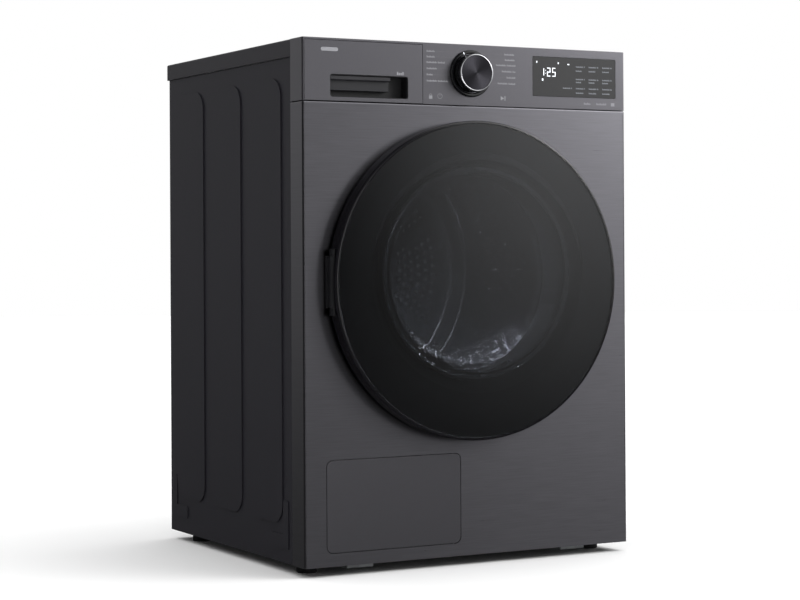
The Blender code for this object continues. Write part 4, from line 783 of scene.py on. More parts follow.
@dataclass
class ControlPanel:
    """Fascia, tank drawer front, display, knob and the printed marks.

    Attributes:
        low: underside of the fascia.
        top: top of the fascia.
        knob_x: the knob's axis, across.
        knob_z: the knob's axis, up.
        display: left, right, bottom and top of the display window.
        grip: left, right, bottom and top of the grip pocket.
        ink: how far print stands proud of the face.
        letter: height of the printed marks.
        legend_left: left end of the left-hand marks.
    """

    dresser: Dresser
    low: float = 0.7503
    top: float = 0.850
    knob_x: float = 0.001
    knob_z: float = 0.8025
    display: tuple[float, float, float, float] = (0.119, 0.282, 0.770, 0.836)
    grip: tuple[float, float, float, float] = (-0.252, -0.114, 0.757, 0.793)
    ink: float = 0.00012
    letter: float = 0.0030
    legend_left: float = -0.0800

    def fascia(self) -> None:
        """Lacquered moulding, open for the drawer, the display and the knob's spindle."""
        made = block("fascia", (-0.300, at(0), self.low), (0.300, at(0.046), self.top))
        bevel_where(made, 0.0028, 6, lambda m, way: abs(way.z) > 0.9 and m.y < at(0.001))
        bevel_where(made, 0.0009, 3, lambda m, way: m.z > self.top - 0.0002 and m.y < at(0.0455))
        combine(made, block("hollow", (-0.297, at(0.003), self.low - 0.01),
                            (0.297, at(0.06), self.top - 0.0025)))
        combine(made, block("drawer_way", (-0.297, at(-0.01), self.low - 0.01), (-0.087, at(0.006), 0.8465)))
        left, right, low, high = self.display
        gap = 0.0003
        combine(made, slab("window_way", (left - gap, right + gap), (-0.01, 0.01),
                           (low - gap, high + gap), 0.0023))
        combine(made, turn("spindle_way", [(0.005, -0.01), (0.005, 0.01)], self.knob_x, self.knob_z, 32))
        soften(made, 0.0002, 2, 50)
        self.dresser.dress(made, FASCIA, "root", "control_panel")

    def drawer(self) -> None:
        """Tank drawer front with its grip pocket."""
        made = block("drawer_face", (-0.2964, at(0), 0.7509), (-0.0876, at(0.003), 0.8459))
        left, right, low, high = self.grip
        tub = slab("tub", (left - 0.002, right + 0.002), (0.001, 0.024), (low - 0.002, high + 0.002), 0.006)
        combine(made, tub, "UNION")
        combine(made, slab("pocket", (left, right), (-0.01, 0.022), (low, high), 0.004))
        soften(made, 0.0003, 2, 45)
        self.dresser.dress(made, FASCIA, "tank_drawer", "tank_drawer_front")

    def grip_liner(self) -> None:
        """Liner of the grip pocket: a brow over a plate drawn a touch darker, painted shade in the recess,
        with a black liner whose undercut and end are painted shade.
        """
        left, right, low, high = self.grip
        inset = 0.0004
        # The black liner stands for the shade in the pocket's undercut and right end: painted shade.
        shell = slab("grip_shade_liner", (left + inset, right - inset), (0.0012, 0.0217),
                     (low + inset, high - inset), 0.0037)
        combine(shell, slab("mouth", (left + 0.0012, right - 0.0012), (-0.002, 0.0208),
                            (low + 0.0012, high - 0.0012), 0.003))
        soften(shell, 0.0002, 2)
        self.dresser.dress(shell, BLACK_MOULDED, "tank_drawer")
        # The plate's moulding is a touch darker than the brow's: painted shade in the recess.
        plate = block("grip_plate", (left + 0.0016, at(0.0100), 0.7680), (-0.1440, at(0.0200), 0.7850))
        self.dresser.dress(soften(plate, 0.0010, 3), DARK_MOULDED, "tank_drawer")
        brow = block("grip_brow", (left + 0.0016, at(0.0030), 0.7845), (-0.1440, at(0.0200), 0.7914))
        self.dresser.dress(soften(brow, 0.0012, 3), TOP_PAINT, "tank_drawer")

    def badge(self) -> None:
        """Plain pill-shaped badge in the drawer's top corner."""
        made = slab("plain_badge", (-0.268, -0.238), (-0.0004, 0.0004), (0.829, 0.835), 0.0029, 6)
        self.dresser.dress(soften(made, 0.0001, 1), LEGEND_INK, "tank_drawer")

    def bar(self, x0: float, x1: float, z0: float, z1: float, face: float = 0.0) -> bpy.types.Object:
        """A printed bar on a face.

        Args:
            x0: its left.
            x1: its right.
            z0: its bottom.
            z1: its top.
            face: depth of the face that it is printed on.

        Returns:
            The bar.
        """
        return block("bar", (x0, at(face - self.ink), z0), (x1, at(face + 0.00005), z1))

    def word(self, x: float, z: float, width: float, size: float,
             face: float = 0.0) -> list[bpy.types.Object]:
        """A plain row of tall and low blocks in place of a printed word.

        Args:
            x: its left end.
            z: its middle, up.
            width: its length.
            size: height of a tall block.
            face: depth of the face that it is printed on.

        Returns:
            The blocks.
        """
        pitch = size * 0.62
        made = []
        for index, glyph in zip(range(max(round(width / pitch), 1)), "tootoototo tootooto" * 2):
            if glyph != " ":
                high = size if glyph == "t" else size * 0.68
                left = x + index * pitch
                made.append(self.bar(left, left + pitch * 0.7, z - size / 2, z - size / 2 + high, face))
        return made

    def legends(self) -> None:
        """Programme marks each side of the knob, with a leader line from each to the bezel."""
        # height, length of the left mark, length of the right mark
        rows = ((0.8365, 0.0154, 0.0210), (0.8275, 0.0154, 0.0200), (0.8185, 0.0337, 0.0370),
                (0.8085, 0.0210, 0.0260), (0.7985, 0.0110, 0.0170), (0.7885, 0.0390, 0.0340))
        pieces: list[bpy.types.Object] = []
        lines: list[bpy.types.Object] = []
        outer, gap, thick = 0.0860, 0.0020, 0.00022
        for z, left, right in rows:
            pieces += self.word(self.legend_left, z, left, self.letter)
            pieces += self.word(outer - right, z, right, self.letter)
            reach = math.sqrt(max(0.0400 ** 2 - (z - self.knob_z) ** 2, 0.0))
            for start, end in ((self.legend_left + left + gap, self.knob_x - reach),
                               (self.knob_x + reach, outer - right - gap)):
                if end - start > 0.002:
                    lines.append(self.bar(start, end, z - thick, z + thick))
        pieces += self.power_mark(-0.0560, 0.7640) + self.start_mark(0.0620, 0.7640)
        pieces += self.lock_mark(-0.0730, 0.7635)
        pieces += self.word(0.2190, 0.7600, 0.014, 0.0036) + self.word(0.2440, 0.7600, 0.020, 0.0036)
        pieces.append(self.bar(0.2730, 0.2800, 0.7570, 0.7625))
        self.dresser.dress(gather("fascia_print", pieces), LEGEND_INK, "root")
        self.dresser.dress(gather("fascia_leader_lines", lines), LINE_INK, "root")
        share = self.word(-0.1340, 0.7980, 0.0130, 0.0052)
        self.dresser.dress(gather("drawer_print", share), LEGEND_INK, "tank_drawer")

    def ring_mark(self, x: float, z: float, radius: float) -> bpy.types.Object:
        """A thin printed ring."""
        wide = radius + 0.0007
        return turn("ring", [(radius, -self.ink), (wide, -self.ink), (wide, 0.00005), (radius, 0.00005)],
                    x, z, 32, ring=True)

    def power_mark(self, x: float, z: float) -> list[bpy.types.Object]:
        """A ring broken at the top by a short bar.

        Args:
            x: its centre, across.
            z: its centre, up.

        Returns:
            Its pieces.
        """
        ring = self.ring_mark(x, z, 0.0038)
        combine(ring, block("break", (x - 0.0014, at(-0.01), z), (x + 0.0014, at(0.01), z + 0.01)))
        return [ring, self.bar(x - 0.0004, x + 0.0004, z + 0.0005, z + 0.0052)]

    def lock_mark(self, x: float, z: float) -> list[bpy.types.Object]:
        """A small padlock: a ring over a block."""
        ring = self.ring_mark(x, z + 0.0015, 0.0018)
        return [ring, self.bar(x - 0.0030, x + 0.0030, z - 0.0045, z + 0.0010)]

    def start_mark(self, x: float, z: float) -> list[bpy.types.Object]:
        """A triangle and two bars for start and pause.

        Args:
            x: its centre, across.
            z: its centre, up.

        Returns:
            Its pieces.
        """
        begin()
        bpy.ops.mesh.primitive_cylinder_add(vertices=3, radius=0.0042, depth=0.00017,
                                            location=(x - 0.0025, at(-0.00003), z),
                                            rotation=(math.pi / 2, math.pi / 2, 0))
        arrow = settle("arrow")
        bars = [self.bar(x + d, x + d + 0.0009, z - 0.0038, z + 0.0038) for d in (0.0020, 0.0040)]
        return [arrow] + bars

    def window(self) -> None:
        """Gloss display window with its lit digits and dimmed marks."""
        left, right, low, high = self.display
        face = 0.0002
        made = slab("display_pane", (left, right), (face, face + 0.002), (low, high), 0.002)
        self.dresser.dress(soften(made, 0.0003, 2), BLACK_GLOSS, "root", "display_window")
        lit = self.digits(0.1400, 0.8035, 0.0145, face)
        lit += [self.bar(0.1262, 0.1280, 0.8255, 0.8285, face),
                self.bar(0.1680, 0.1700, 0.8250, 0.8275, face),
                self.bar(0.1870, 0.1905, 0.8240, 0.8256, face),
                self.bar(0.1370, 0.1395, 0.7960, 0.7995, face)]
        self.dresser.dress(gather("display_lit_marks", lit), LAMP_INK, "root")
        dim: list[bpy.types.Object] = []
        columns = ((0.2035, 0.018), (0.2290, 0.020), (0.2560, 0.020))
        for z, share in ((0.8215, 1.0), (0.8145, 0.7), (0.8005, 1.0), (0.7955, 0.6), (0.7850, 1.0),
                         (0.7775, 0.8)):
            for x, width in columns:
                dim += self.word(x, z, width * share, 0.0024, face)
        dim += self.word(0.1780, 0.7850, 0.018, 0.0024, face)
        self.dresser.dress(gather("display_dim_marks", dim), FAINT_LAMP, "root")

    def digits(self, x: float, z: float, height: float, face: float) -> list[bpy.types.Object]:
        """Time left on the display, as three seven-segment figures and a colon.

        Args:
            x: left of the first figure's stroke.
            z: foot of the figures.
            height: their height.
            face: depth of the window's face.

        Returns:
            Their segments.
        """
        wide, bar, half = height * 0.44, height * 0.085, height / 2
        figures = {"2": ("foot", "middle", "head", "right_high", "left_low"),
                   "5": ("foot", "middle", "head", "left_high", "right_low"), "1": ("left_low", "left_high")}
        places = {"foot": (0, wide, 0, bar), "middle": (0, wide, half - bar / 2, half + bar / 2),
                  "head": (0, wide, height - bar, height), "left_low": (0, bar, bar, half),
                  "left_high": (0, bar, half, height - bar), "right_low": (wide - bar, wide, bar, half),
                  "right_high": (wide - bar, wide, half, height - bar)}
        made = []
        for figure, start in (("1", x), ("2", x + 0.0070), ("5", x + 0.0170)):
            for segment in figures[figure]:
                x0, x1, z0, z1 = places[segment]
                made.append(self.bar(start + x0, start + x1, z + z0, z + z1, face))
        for level in (0.30, 0.64):
            low = z + level * height
            made.append(self.bar(x + 0.0036, x + 0.0036 + bar, low, low + bar, face))
        return made

    def knob(self) -> None:
        """Bezel ring, knob body, bright rim and spun face."""
        x, z = self.knob_x, self.knob_z
        bezel = turn("bezel_ring", [(0.0320, -0.0003), (0.0385, -0.0003), (0.0385, -0.0022),
                                    (0.0372, -0.0038),
                                    (0.0340, -0.0040), (0.0325, -0.0034)], x, z, 96, ring=True)
        self.dresser.dress(soften(bezel, 0.0003, 2), BLACK_GLOSS, "root", "knob_bezel")
        mark = slab("bezel_mark", (x - 0.0006, x + 0.0006), (-0.00415, -0.0038),
                    (z + 0.0333, z + 0.0372), 0.0005, 3)
        mark.data.transform(Matrix.Translation((x, 0, z)) @ Matrix.Rotation(math.radians(-24), 4, "Y")
                            @ Matrix.Translation((-x, 0, -z)))
        self.dresser.dress(mark, LAMP_INK, "root")
        body = turn("knob_body", [(0.0300, -0.0209), (0.0308, -0.0200), (0.0310, -0.0190), (0.0310, -0.0012),
                                  (0.0302, -0.0008), (0.0290, -0.0008), (0.0290, -0.0150), (0.0040, -0.0150),
                                  (0.0040, 0.0165)], x, z, 96)
        self.dresser.dress(soften(body, 0.0, angle=30), BLACK_GLOSS, "knob", "programme_knob")
        rim = turn("knob_bright_rim", [(0.0283, -0.0210), (0.0283, -0.0213), (0.0286, -0.0215),
                                       (0.0296, -0.0215), (0.0302, -0.0213), (0.0306, -0.0208),
                                       (0.0306, -0.0200), (0.0283, -0.0200)],
                   x, z, 96, ring=True)
        self.dresser.dress(soften(rim, 0.0, angle=50), CHROME, "knob")
        face = turn("knob_spun_face", [(0.0282, -0.0200), (0.0282, -0.0209), (0.0279, -0.0211)], x, z, 96)
        self.dresser.dress(soften(face, 0.0, angle=30), KNOB_FACE, "knob")

    def build(self) -> None:
        """Make the whole control panel."""
        self.fascia()
        self.drawer()
        self.grip_liner()
        self.badge()
        self.legends()
        self.window()
        self.knob()


# ---------------------------------------------------------------- door


@dataclass
class Door:
    """Ring, glass, printed mask, bowl, inner frame, seal, hook and hinge.

    Attributes:
        z: the door's centre.
        bowl_z: centre of the window and the bowl.
        rim: outer radius of the ring.
        front: depth of the glass face, in front of the cabinet.
        glass: thickness of the glass.
        window: radius of the unprinted part of the glass.
    """

    dresser: Dresser
    z: float = 0.4645
    bowl_z: float = 0.477
    rim: float = 0.2595
    front: float = -0.0333
    glass: float = 0.0045
    window: float = 0.1955

    def ring(self) -> None:
        """Outer ring with its rolled lip round the glass, notched for the hinge and the fingers."""
        rim, front = self.rim, self.front
        seat = rim - 0.0043
        web = front + self.glass + 0.0003
        profile = [(rim - 0.003, -0.0040), (rim - 0.001, -0.0040), (rim, -0.0050), (rim, front + 0.0045),
                   (rim - 0.0004, front + 0.0030), (rim - 0.0012, front + 0.0018),
                   (rim - 0.0022, front + 0.0011),
                   (rim - 0.0032, front + 0.0008), (seat, front + 0.0008), (seat, web), (0.196, web),
                   (0.196, web + 0.003), (rim - 0.003, web + 0.003)]
        made = turn("ring_moulding", profile, 0, self.z, 160, ring=True)
        combine(made, block("hinge_notch", (-rim - 0.01, at(web + 0.0029), self.z - 0.053),
                            (-0.242, at(0.001), self.z + 0.053)))
        combine(made, block("finger_notch", (rim - 0.012, at(-0.020), self.z - 0.050),
                            (rim + 0.01, at(0.001), self.z + 0.050)))
        self.dresser.dress(soften(made, 0.0, angle=30), RING_GLOSS, "door", "door_ring")

    def panes(self) -> None:
        """Outer glass, and the black print behind it that leaves the window clear."""
        radius = self.rim - 0.0046
        back = self.front + self.glass
        pane = turn("door_pane", [(radius - 0.0009, self.front), (radius - 0.0003, self.front + 0.0003),
                                  (radius, self.front + 0.0009), (radius, back)], 0, self.z, 160)
        self.dresser.dress(soften(pane, 0.0, angle=20), SMOKED_GLASS, "door", "door_glass")
        printed = radius - 0.0003
        mask = turn("pane_print", [(printed, back + 0.00005), (printed, back + 0.00018)], 0, self.z, 160)
        combine(mask, turn("window", [(self.window, -0.05), (self.window, 0.0)], 0, self.bowl_z, 160))
        self.dresser.dress(mask, PRINT_AND_HOLE_SHADE, "door")

    def bowl(self) -> None:
        """Pressed glass bowl that reaches into the drum's mouth."""
        profile = [(0.002, 0.0240), (0.060, 0.0232), (0.110, 0.0212), (0.136, 0.0185), (0.148, 0.0140),
                   (0.1545, 0.0070), (0.1590, -0.0060), (0.1620, -0.0246),
                   (0.1717, -0.0246), (0.1717, -0.0206),
                   (0.1660, -0.0206), (0.1630, -0.0060), (0.1588, 0.0095), (0.1510, 0.0180), (0.1400, 0.0225),
                   (0.110, 0.0254), (0.060, 0.0273), (0.002, 0.0280)]
        made = turn("bowl_pressing", profile, 0, self.bowl_z, 128)
        self.dresser.dress(soften(made, 0.0, angle=40), BOWL_GLASS, "door", "door_bowl")

    def hardware(self) -> None:
        """Inner frame, seal, latch hook and the hinge's door half."""
        # The hinge strap's near-black steel is painted shade from the ring.
        for node, name, finish, width in (("door_inner_frame", "inner_frame_moulding", BLACK_MOULDED, 0.0004),
                                          ("door_seal", "seal_bead", RUBBER, 0.0008),
                                          ("latch_hook", "hook_moulding", GREY_MOULDED, 0.0004),
                                          ("door_hinge_arm", "hinge_strap", HINGE_SHADE_STEEL, 0.0005)):
            self.dresser.dress(refine(node, name, width, 2), finish, "door", node)
        self.dresser.dress(refine("hinge_block", "hinge_casting", 0.0006, 2), BLACK_MOULDED, "root",
                           "hinge_block")

    def build(self) -> None:
        """Make the whole door."""
        self.ring()
        self.panes()
        self.bowl()
        self.hardware()


# ---------------------------------------------------------------- drum


@dataclass
class Drum:
    """Shell with its raised dimples, pressed back and lifters.

    Attributes:
        z: the drum's axis.
        inner: inside radius of the shell.
        front: depth of its mouth.
        back: depth of its rear edge.
        mouth: radius of the mouth.
        pitch: spacing of the dimples.
        lifters: angles of the three lifters, in degrees.
    """

    dresser: Dresser
    z: float = 0.477
    inner: float = 0.2705
    front: float = 0.078
    back: float = 0.508
    mouth: float = 0.215
    pitch: float = 0.021
    lifters: tuple[float, ...] = (60.0, 180.0, 300.0)

    def shell(self) -> None:
        """Rolled shell with a flanged mouth."""
        outer = self.inner + 0.0012
        profile = [(self.mouth, self.front), (outer - 0.005, self.front),
                   (outer - 0.0015, self.front + 0.0015),
                   (outer, self.front + 0.005), (outer, self.back), (self.inner, self.back),
                   (self.inner, self.front + 0.006), (self.inner - 0.0015, self.front + 0.0028),
                   (self.inner - 0.005, self.front + 0.0015), (self.mouth, self.front + 0.0015)]
        made = turn("shell_rolling", profile, 0, self.z, 160, ring=True)
        self.dresser.dress(soften(made, 0.0, angle=30), DRUM_STEEL, "drum", "drum_shell")

    def dimples(self) -> None:
        """Staggered rows of pressed dimples between the lifters, in steel drawn lighter than the shell as
        painted glints.
        """
        begin()
        bpy.ops.mesh.primitive_uv_sphere_add(segments=8, ring_count=6, radius=0.0052)
        dimple = settle("dimple")
        pick(dimple)
        bpy.ops.object.mode_set(mode="EDIT")
        bpy.ops.transform.resize(value=(0.75, 1.0, 1.0))
        bpy.ops.object.mode_set(mode="OBJECT")
        places = []
        turns = 72
        rows = int((self.back - self.front - 0.05) / self.pitch)
        for row in range(rows):
            depth = self.front + 0.028 + row * self.pitch
            for step in range(turns):
                angle = 360 * (step + 0.5 * (row % 2)) / turns
                if min(abs((angle - lifter + 180) % 360 - 180) for lifter in self.lifters) < 9:
                    continue
                places.append(Matrix.Translation((0, at(depth), self.z))
                              @ Matrix.Rotation(math.radians(-angle), 4, "Y")
                              @ Matrix.Translation((self.inner - 0.0002, 0, 0)))
        made = repeat(dimple, places, "shell_dimples")
        bpy.ops.object.shade_smooth()
        self.dresser.dress(made, DIMPLE_GLINT_STEEL, "drum")

    def rear(self) -> None:
        """Pressed drum back: raised centre, stepped rings and a band of black discs in place of perforations,
        painted shade for the holes.
        """
        profile = [(0.050, 0.4840), (0.058, 0.4850), (0.064, 0.4880), (0.068, 0.4930), (0.074, 0.4955),
                   (0.098, 0.4955), (0.102, 0.4935), (0.196, 0.4935), (0.201, 0.4965), (0.208, 0.4975),
                   (0.222, 0.4975), (0.225, 0.4955), (0.229, 0.4935), (0.234, 0.4930), (0.239, 0.4935),
                   (0.243, 0.4955), (0.246, 0.4975), (0.254, 0.4975), (0.258, 0.4960), (0.262, 0.4925),
                   (0.2655, 0.4870), (0.2690, 0.4800), (0.2690, 0.4995), (0.0600, 0.4995)]
        made = turn("back_pressing", profile, 0, self.z, 128)
        self.dresser.dress(soften(made, 0.0, angle=40), DRUM_STEEL, "drum", "drum_back")
        # Shallow black discs stand in for the perforations: painted shade where the holes are dark.
        hole = turn("hole", [(0.0026, 0.4930), (0.0034, 0.4934)], 0, 0, 8)
        places = []
        for ring in range(6):
            radius = 0.112 + ring * 0.015
            count = int(2 * math.pi * radius / 0.0165)
            for step in range(count):
                angle = 2 * math.pi * (step + 0.5 * (ring % 2)) / count
                if (math.degrees(angle) + 30) % 60 < 50:
                    spot = (radius * math.cos(angle), 0, self.z + radius * math.sin(angle))
                    places.append(Matrix.Translation(spot))
        holes = repeat(hole, places, "back_hole_shade_discs")
        self.dresser.dress(holes, PRINT_AND_HOLE_SHADE, "drum")

    def lifter_bars(self) -> None:
        """Three lifter bars with rounded crests."""
        middle = (self.front + self.back - 0.010) / 2
        for index, angle in enumerate(self.lifters):
            made = block(f"lifter_bar_{index + 1}", (0.2250, at(middle - 0.190), -0.0275),
                         (0.2682, at(middle + 0.190), 0.0275))
            pick(made)
            bpy.ops.object.mode_set(mode="EDIT")
            bpy.ops.mesh.select_all(action="DESELECT")
            bpy.ops.mesh.select_mode(type="VERT")
            bpy.ops.object.mode_set(mode="OBJECT")
            for vertex in made.data.vertices:
                vertex.select = vertex.co.x < 0.23
            bpy.ops.object.mode_set(mode="EDIT")
            bpy.ops.transform.resize(value=(1, 0.90, 0.36), center_override=(0.225, at(middle), 0))
            bpy.ops.object.mode_set(mode="OBJECT")
            bevel_where(made, 0.008, 5, lambda m, way: m.x < 0.262)
            made.data.transform(Matrix.Translation((0, 0, self.z))
                                @ Matrix.Rotation(math.radians(-angle), 4, "Y"))
            self.dresser.dress(soften(made, 0.0, angle=40), DRUM_STEEL, "drum", f"drum_lifter_{index + 1}")

    def build(self) -> None:
        """Make the drum."""
        self.shell()
        self.dimples()
        self.rear()
        self.lifter_bars()


# ---------------------------------------------------------------- rear and machinery


@dataclass
class Rear:
    """Duct cover and screws on the back.

    Attributes:
        z: centre of the duct cover.
        panel: depth of the rear sheet's face.
        proud: depth of the cover's face.
        radius: radius of the cover's pressing.
    """

    dresser: Dresser
    z: float = 0.477
    panel: float = 0.578
    proud: float = 0.600
    radius: float = 0.230

    def duct_cover(self) -> None:
        """Round pressed cover with louvres."""
        edge, inner, outer, wall = self.radius, self.panel + 0.0003, self.proud, 0.0015
        profile = [(edge + 0.012, inner), (edge + 0.012, inner + wall), (edge + 0.001, inner + wall),
                   (edge - 0.002, inner + 0.004), (edge - 0.009, outer - 0.005),
                   (edge - 0.013, outer - 0.001),
                   (edge - 0.018, outer), (0.150, outer), (0.146, outer - 0.003), (0.100, outer - 0.003),
                   (0.096, outer), (0.002, outer), (0.002, outer - wall), (0.095, outer - wall),
                   (0.099, outer - 0.0045), (0.147, outer - 0.0045), (0.151, outer - wall),
                   (edge - 0.019, outer - wall), (edge - 0.0145, outer - 0.003),
                   (edge - 0.0105, outer - 0.006),
                   (edge - 0.0035, inner)]
        made = turn("cover_pressing", profile, 0, self.z, 128, ring=True)
        combine(made, turn("plug", [(0.0021, outer - 0.0015), (0.0021, outer)], 0, self.z, 128), "UNION")
        for index in range(5):
            middle = self.z - 0.060 + 0.030 * index
            combine(made, slab("louvre", (-0.055, 0.055), (outer - 0.006, outer + 0.006),
                               (middle - 0.005, middle + 0.005), 0.004, 4))
        self.dresser.dress(soften(made, 0.0, angle=40), ZINC_SHEET, "root", "rear_duct_cover")

    def screws(self) -> None:
        """Pan-head screws with a cross slot, round the cover and along the rear sheet's edge."""
        head = turn("screw", [(0.0018, 0.0031), (0.0030, 0.0027), (0.0039, 0.0018), (0.0042, 0.0)], 0, 0, 20)
        for size in ((0.0026, 0.0005), (0.0005, 0.0026)):
            combine(head, block("slot", (-size[0], at(0.0018), -size[1]), (size[0], at(0.0040), size[1])))
        places = []
        for step in range(8):
            angle = math.radians(22.5 + 45 * step)
            spot = (0.236 * math.cos(angle), self.panel + 0.0017, self.z + 0.236 * math.sin(angle))
            places.append(Matrix.Translation(spot))
        for x in (-0.270, -0.090, 0.090, 0.270):
            places += [Matrix.Translation((x, self.panel, z)) for z in (0.040, 0.800)]
        for x in (-0.284, 0.284):
            places += [Matrix.Translation((x, self.panel, z)) for z in (0.240, 0.500, 0.680)]
        self.dresser.dress(repeat(head, places, "rear_screws"), SCREW_STEEL, "root")

    def build(self) -> None:
        """Make the back's own pieces."""
        self.duct_cover()
        self.screws()


@dataclass
class Machinery:
    """The CAD nodes that stay as they are, each in its own finish."""

    dresser: Dresser
    finishes: dict[Finish, tuple[str, ...]] = field(default_factory=lambda: {
        ZINC_SHEET: ("rear_panel",),
        BLACK_MOULDED: ("base_pan", "latch_catch", "fan_housing", "condensate_pump", "compressor",
                        "cover_lever_left", "cover_lever_right"),
        GREY_MOULDED: ("tank_guide", "exchanger_cover"),
        DARK_MOULDED: ("front_bulkhead",),
        WHITE_MOULDED: ("water_tank", "exchanger_housing", "fan_wheel", "rear_bearing"),
        SHAFT_STEEL: ("drum_shaft", "motor_shaft", "hinge_pin", "flap_hinge_rod"),
        ALUMINIUM_CAST: ("motor",),
        ALUMINIUM_FINS: ("evaporator", "condenser"),
        RUBBER: ("drum_roller_left", "drum_roller_right", "drum_belt", "power_inlet", "condensate_hose"),
        FELT: ("front_felt_seal",),
        CIRCUIT: ("control_board",),
        FILTER_MESH: ("lint_filter",),
    })

    def build(self) -> None:
        """Give each carried-over node its finish."""
        for finish, nodes in self.finishes.items():
            self.dresser.carry(finish, *nodes)


# ---------------------------------------------------------------- studio


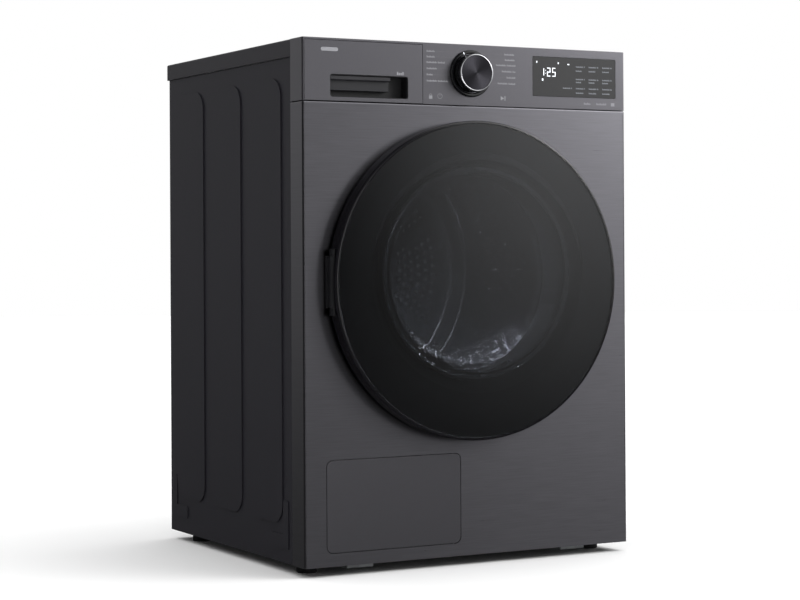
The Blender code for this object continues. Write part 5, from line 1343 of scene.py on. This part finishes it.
@dataclass
class Studio:
    """Camera, pale floor and soft light.

    Attributes:
        eye: the camera's place, relative to the front face's middle at floor level.
        yaw: turn of the camera to the right of straight ahead, in degrees.
        pitch: tilt up, in degrees.
        roll: turn about the line of sight, in degrees.
        lens: focal length on a 36 mm frame.
        shift: sideways and upward shift of the frame.
    """

    eye: Point = (-1.6923, -3.0653, 0.5109)
    yaw: float = -30.31
    pitch: float = 0.221
    roll: float = -0.322
    lens: float = 96.33
    shift: tuple[float, float] = (-0.1545, -0.0708)

    def camera(self) -> None:
        """Place the camera."""
        yaw, pitch, roll = (math.radians(a) for a in (self.yaw, self.pitch, self.roll))
        right0 = Vector((math.cos(yaw), math.sin(yaw), 0))
        ahead0 = Vector((-math.sin(yaw), math.cos(yaw), 0))
        above = Vector((0, 0, 1))
        ahead = math.cos(pitch) * ahead0 + math.sin(pitch) * above
        up1 = -math.sin(pitch) * ahead0 + math.cos(pitch) * above
        right = math.cos(roll) * right0 + math.sin(roll) * up1
        up = -math.sin(roll) * right0 + math.cos(roll) * up1
        data = bpy.data.cameras.new("camera")
        data.lens = self.lens
        data.sensor_width = 36.0
        data.shift_x, data.shift_y = self.shift
        made = bpy.data.objects.new("camera", data)
        place = Matrix((right, up, -ahead)).transposed().to_4x4()
        place.translation = (self.eye[0], at(self.eye[1]), self.eye[2])
        made.matrix_world = place
        bpy.context.scene.collection.objects.link(made)
        bpy.context.scene.camera = made

    def floor(self) -> None:
        """Plain pale floor."""
        begin()
        bpy.ops.mesh.primitive_circle_add(vertices=96, radius=14.0, fill_type="NGON", location=(0, 0, 0))
        made = settle("floor")
        pale = bpy.data.materials.new("Studio floor, matt white")
        pale.use_nodes = True
        shader = pale.node_tree.nodes["Principled BSDF"]
        shader.inputs["Base Color"].default_value = linear("#f4f4f4")
        shader.inputs["Roughness"].default_value = 0.9
        shader.inputs["Specular IOR Level"].default_value = 0.0
        made.data.materials.append(pale)
        made.visible_glossy = False
        made.visible_transmission = False

    def card(self, name: str, place: Point, target: Point, size: tuple[float, float], power: float,
             seen: bool = False) -> None:
        """A soft light aimed at a point.

        Args:
            name: its name.
            place: where it stands.
            target: what it points at.
            size: its width and height.
            power: its power in watts.
            seen: whether it shows in reflections.
        """
        data = bpy.data.lights.new(name, "AREA")
        data.shape = "RECTANGLE"
        data.size, data.size_y = size
        data.energy = power
        made = bpy.data.objects.new(name, data)
        aim = Vector(target) - Vector(place)
        made.matrix_world = Matrix.Translation(place) @ aim.to_track_quat("-Z", "Y").to_matrix().to_4x4()
        bpy.context.scene.collection.objects.link(made)
        made.visible_glossy = seen

    def sky(self) -> None:
        """Very wide soft light from straight above, even over the whole floor."""
        data = bpy.data.lights.new("sky", "SUN")
        data.energy = 3.0
        data.angle = math.radians(120)
        made = bpy.data.objects.new("sky", data)
        bpy.context.scene.collection.objects.link(made)
        made.visible_glossy = False

    def world(self) -> None:
        """Soft surround: a bright bank to the front right, dim to the left, behind and below."""
        world = bpy.data.worlds.new("studio")
        bpy.context.scene.world = world
        world.use_nodes = True
        tree = world.node_tree
        tree.nodes.clear()
        way = add_node(tree, "ShaderNodeTexCoord").outputs["Generated"]
        across = add_node(tree, "ShaderNodeVectorMath", {"operation": "DOT_PRODUCT"},
                          {1: (0.866, 0.5, 0.0)}, {0: way})
        side = add_node(tree, "ShaderNodeMapRange", {"interpolation_type": "SMOOTHSTEP"},
                        {"From Min": -0.10, "From Max": 0.03}, {"Value": across.outputs["Value"]})
        split = add_node(tree, "ShaderNodeSeparateXYZ", links={0: way})
        rise = add_node(tree, "ShaderNodeMapRange", {"interpolation_type": "SMOOTHSTEP"},
                        {"From Min": -0.13, "From Max": 0.12}, {"Value": split.outputs["Z"]})
        ahead = add_node(tree, "ShaderNodeMapRange", {"interpolation_type": "SMOOTHSTEP"},
                         {"From Min": 0.15, "From Max": -0.25, "To Min": 0.25}, {"Value": split.outputs["Y"]})
        tall = add_node(tree, "ShaderNodeMath", {"operation": "MULTIPLY"},
                        links={0: side.outputs["Result"], 1: rise.outputs["Result"]})
        bank = add_node(tree, "ShaderNodeMath", {"operation": "MULTIPLY"},
                        links={0: tall.outputs["Value"], 1: ahead.outputs["Result"]})
        level = add_node(tree, "ShaderNodeMath", {"operation": "MULTIPLY_ADD"}, {1: 1.35, 2: 0.05},
                         {0: bank.outputs["Value"]})
        light = add_node(tree, "ShaderNodeBackground", values={"Color": (1, 1, 1, 1)},
                         links={"Strength": level.outputs["Value"]})
        seen = add_node(tree, "ShaderNodeBackground", values={"Color": (1, 1, 1, 1), "Strength": 1.0})
        ray = add_node(tree, "ShaderNodeLightPath")
        mix = add_node(tree, "ShaderNodeMixShader", links={0: ray.outputs["Is Camera Ray"],
                                                           1: light.outputs[0], 2: seen.outputs[0]})
        add_node(tree, "ShaderNodeOutputWorld", links={"Surface": mix.outputs[0]})

    def drum_lamp(self) -> None:
        """Small lamp at the top of the drum's mouth."""
        data = bpy.data.lights.new("drum_lamp", "AREA")
        data.shape = "DISK"
        data.size = 0.03
        data.energy = 1.6
        made = bpy.data.objects.new("drum_lamp", data)
        place = Vector((0.06, at(0.095), 0.645))
        aim = Vector((0.0, at(0.40), 0.35)) - place
        made.matrix_world = Matrix.Translation(place) @ aim.to_track_quat("-Z", "Y").to_matrix().to_4x4()
        bpy.context.scene.collection.objects.link(made)

    def build(self) -> None:
        """Set up the whole studio."""
        self.camera()
        self.floor()
        self.world()
        self.sky()
        self.card("left_fill", (-3.2, -0.6, 0.5), (0, 0, 0.45), (2.0, 2.0), 7)
        self.card("left_bank", (0.35, -4.4, 0.75), (0, 0, 0.5), (0.7, 2.2), 11, seen=True)
        self.card("softbox", (2.2, -2.1, 1.75), (0, 0, 0.55), (1.1, 1.1), 22, seen=True)
        self.drum_lamp()
        bpy.context.scene.view_settings.view_transform = "Standard"


def main() -> None:
    """Build every piece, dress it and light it."""
    logging.basicConfig(level=logging.INFO, format="%(message)s")
    dresser = Dresser()
    Studio().build()
    Machinery(dresser).build()
    for assembly in (Cabinet(dresser), ControlPanel(dresser), Door(dresser), Drum(dresser), Rear(dresser)):
        LOG.info("building the %s", type(assembly).__name__)
        assembly.build()
    begin()


if __name__ == "__main__":
    main()
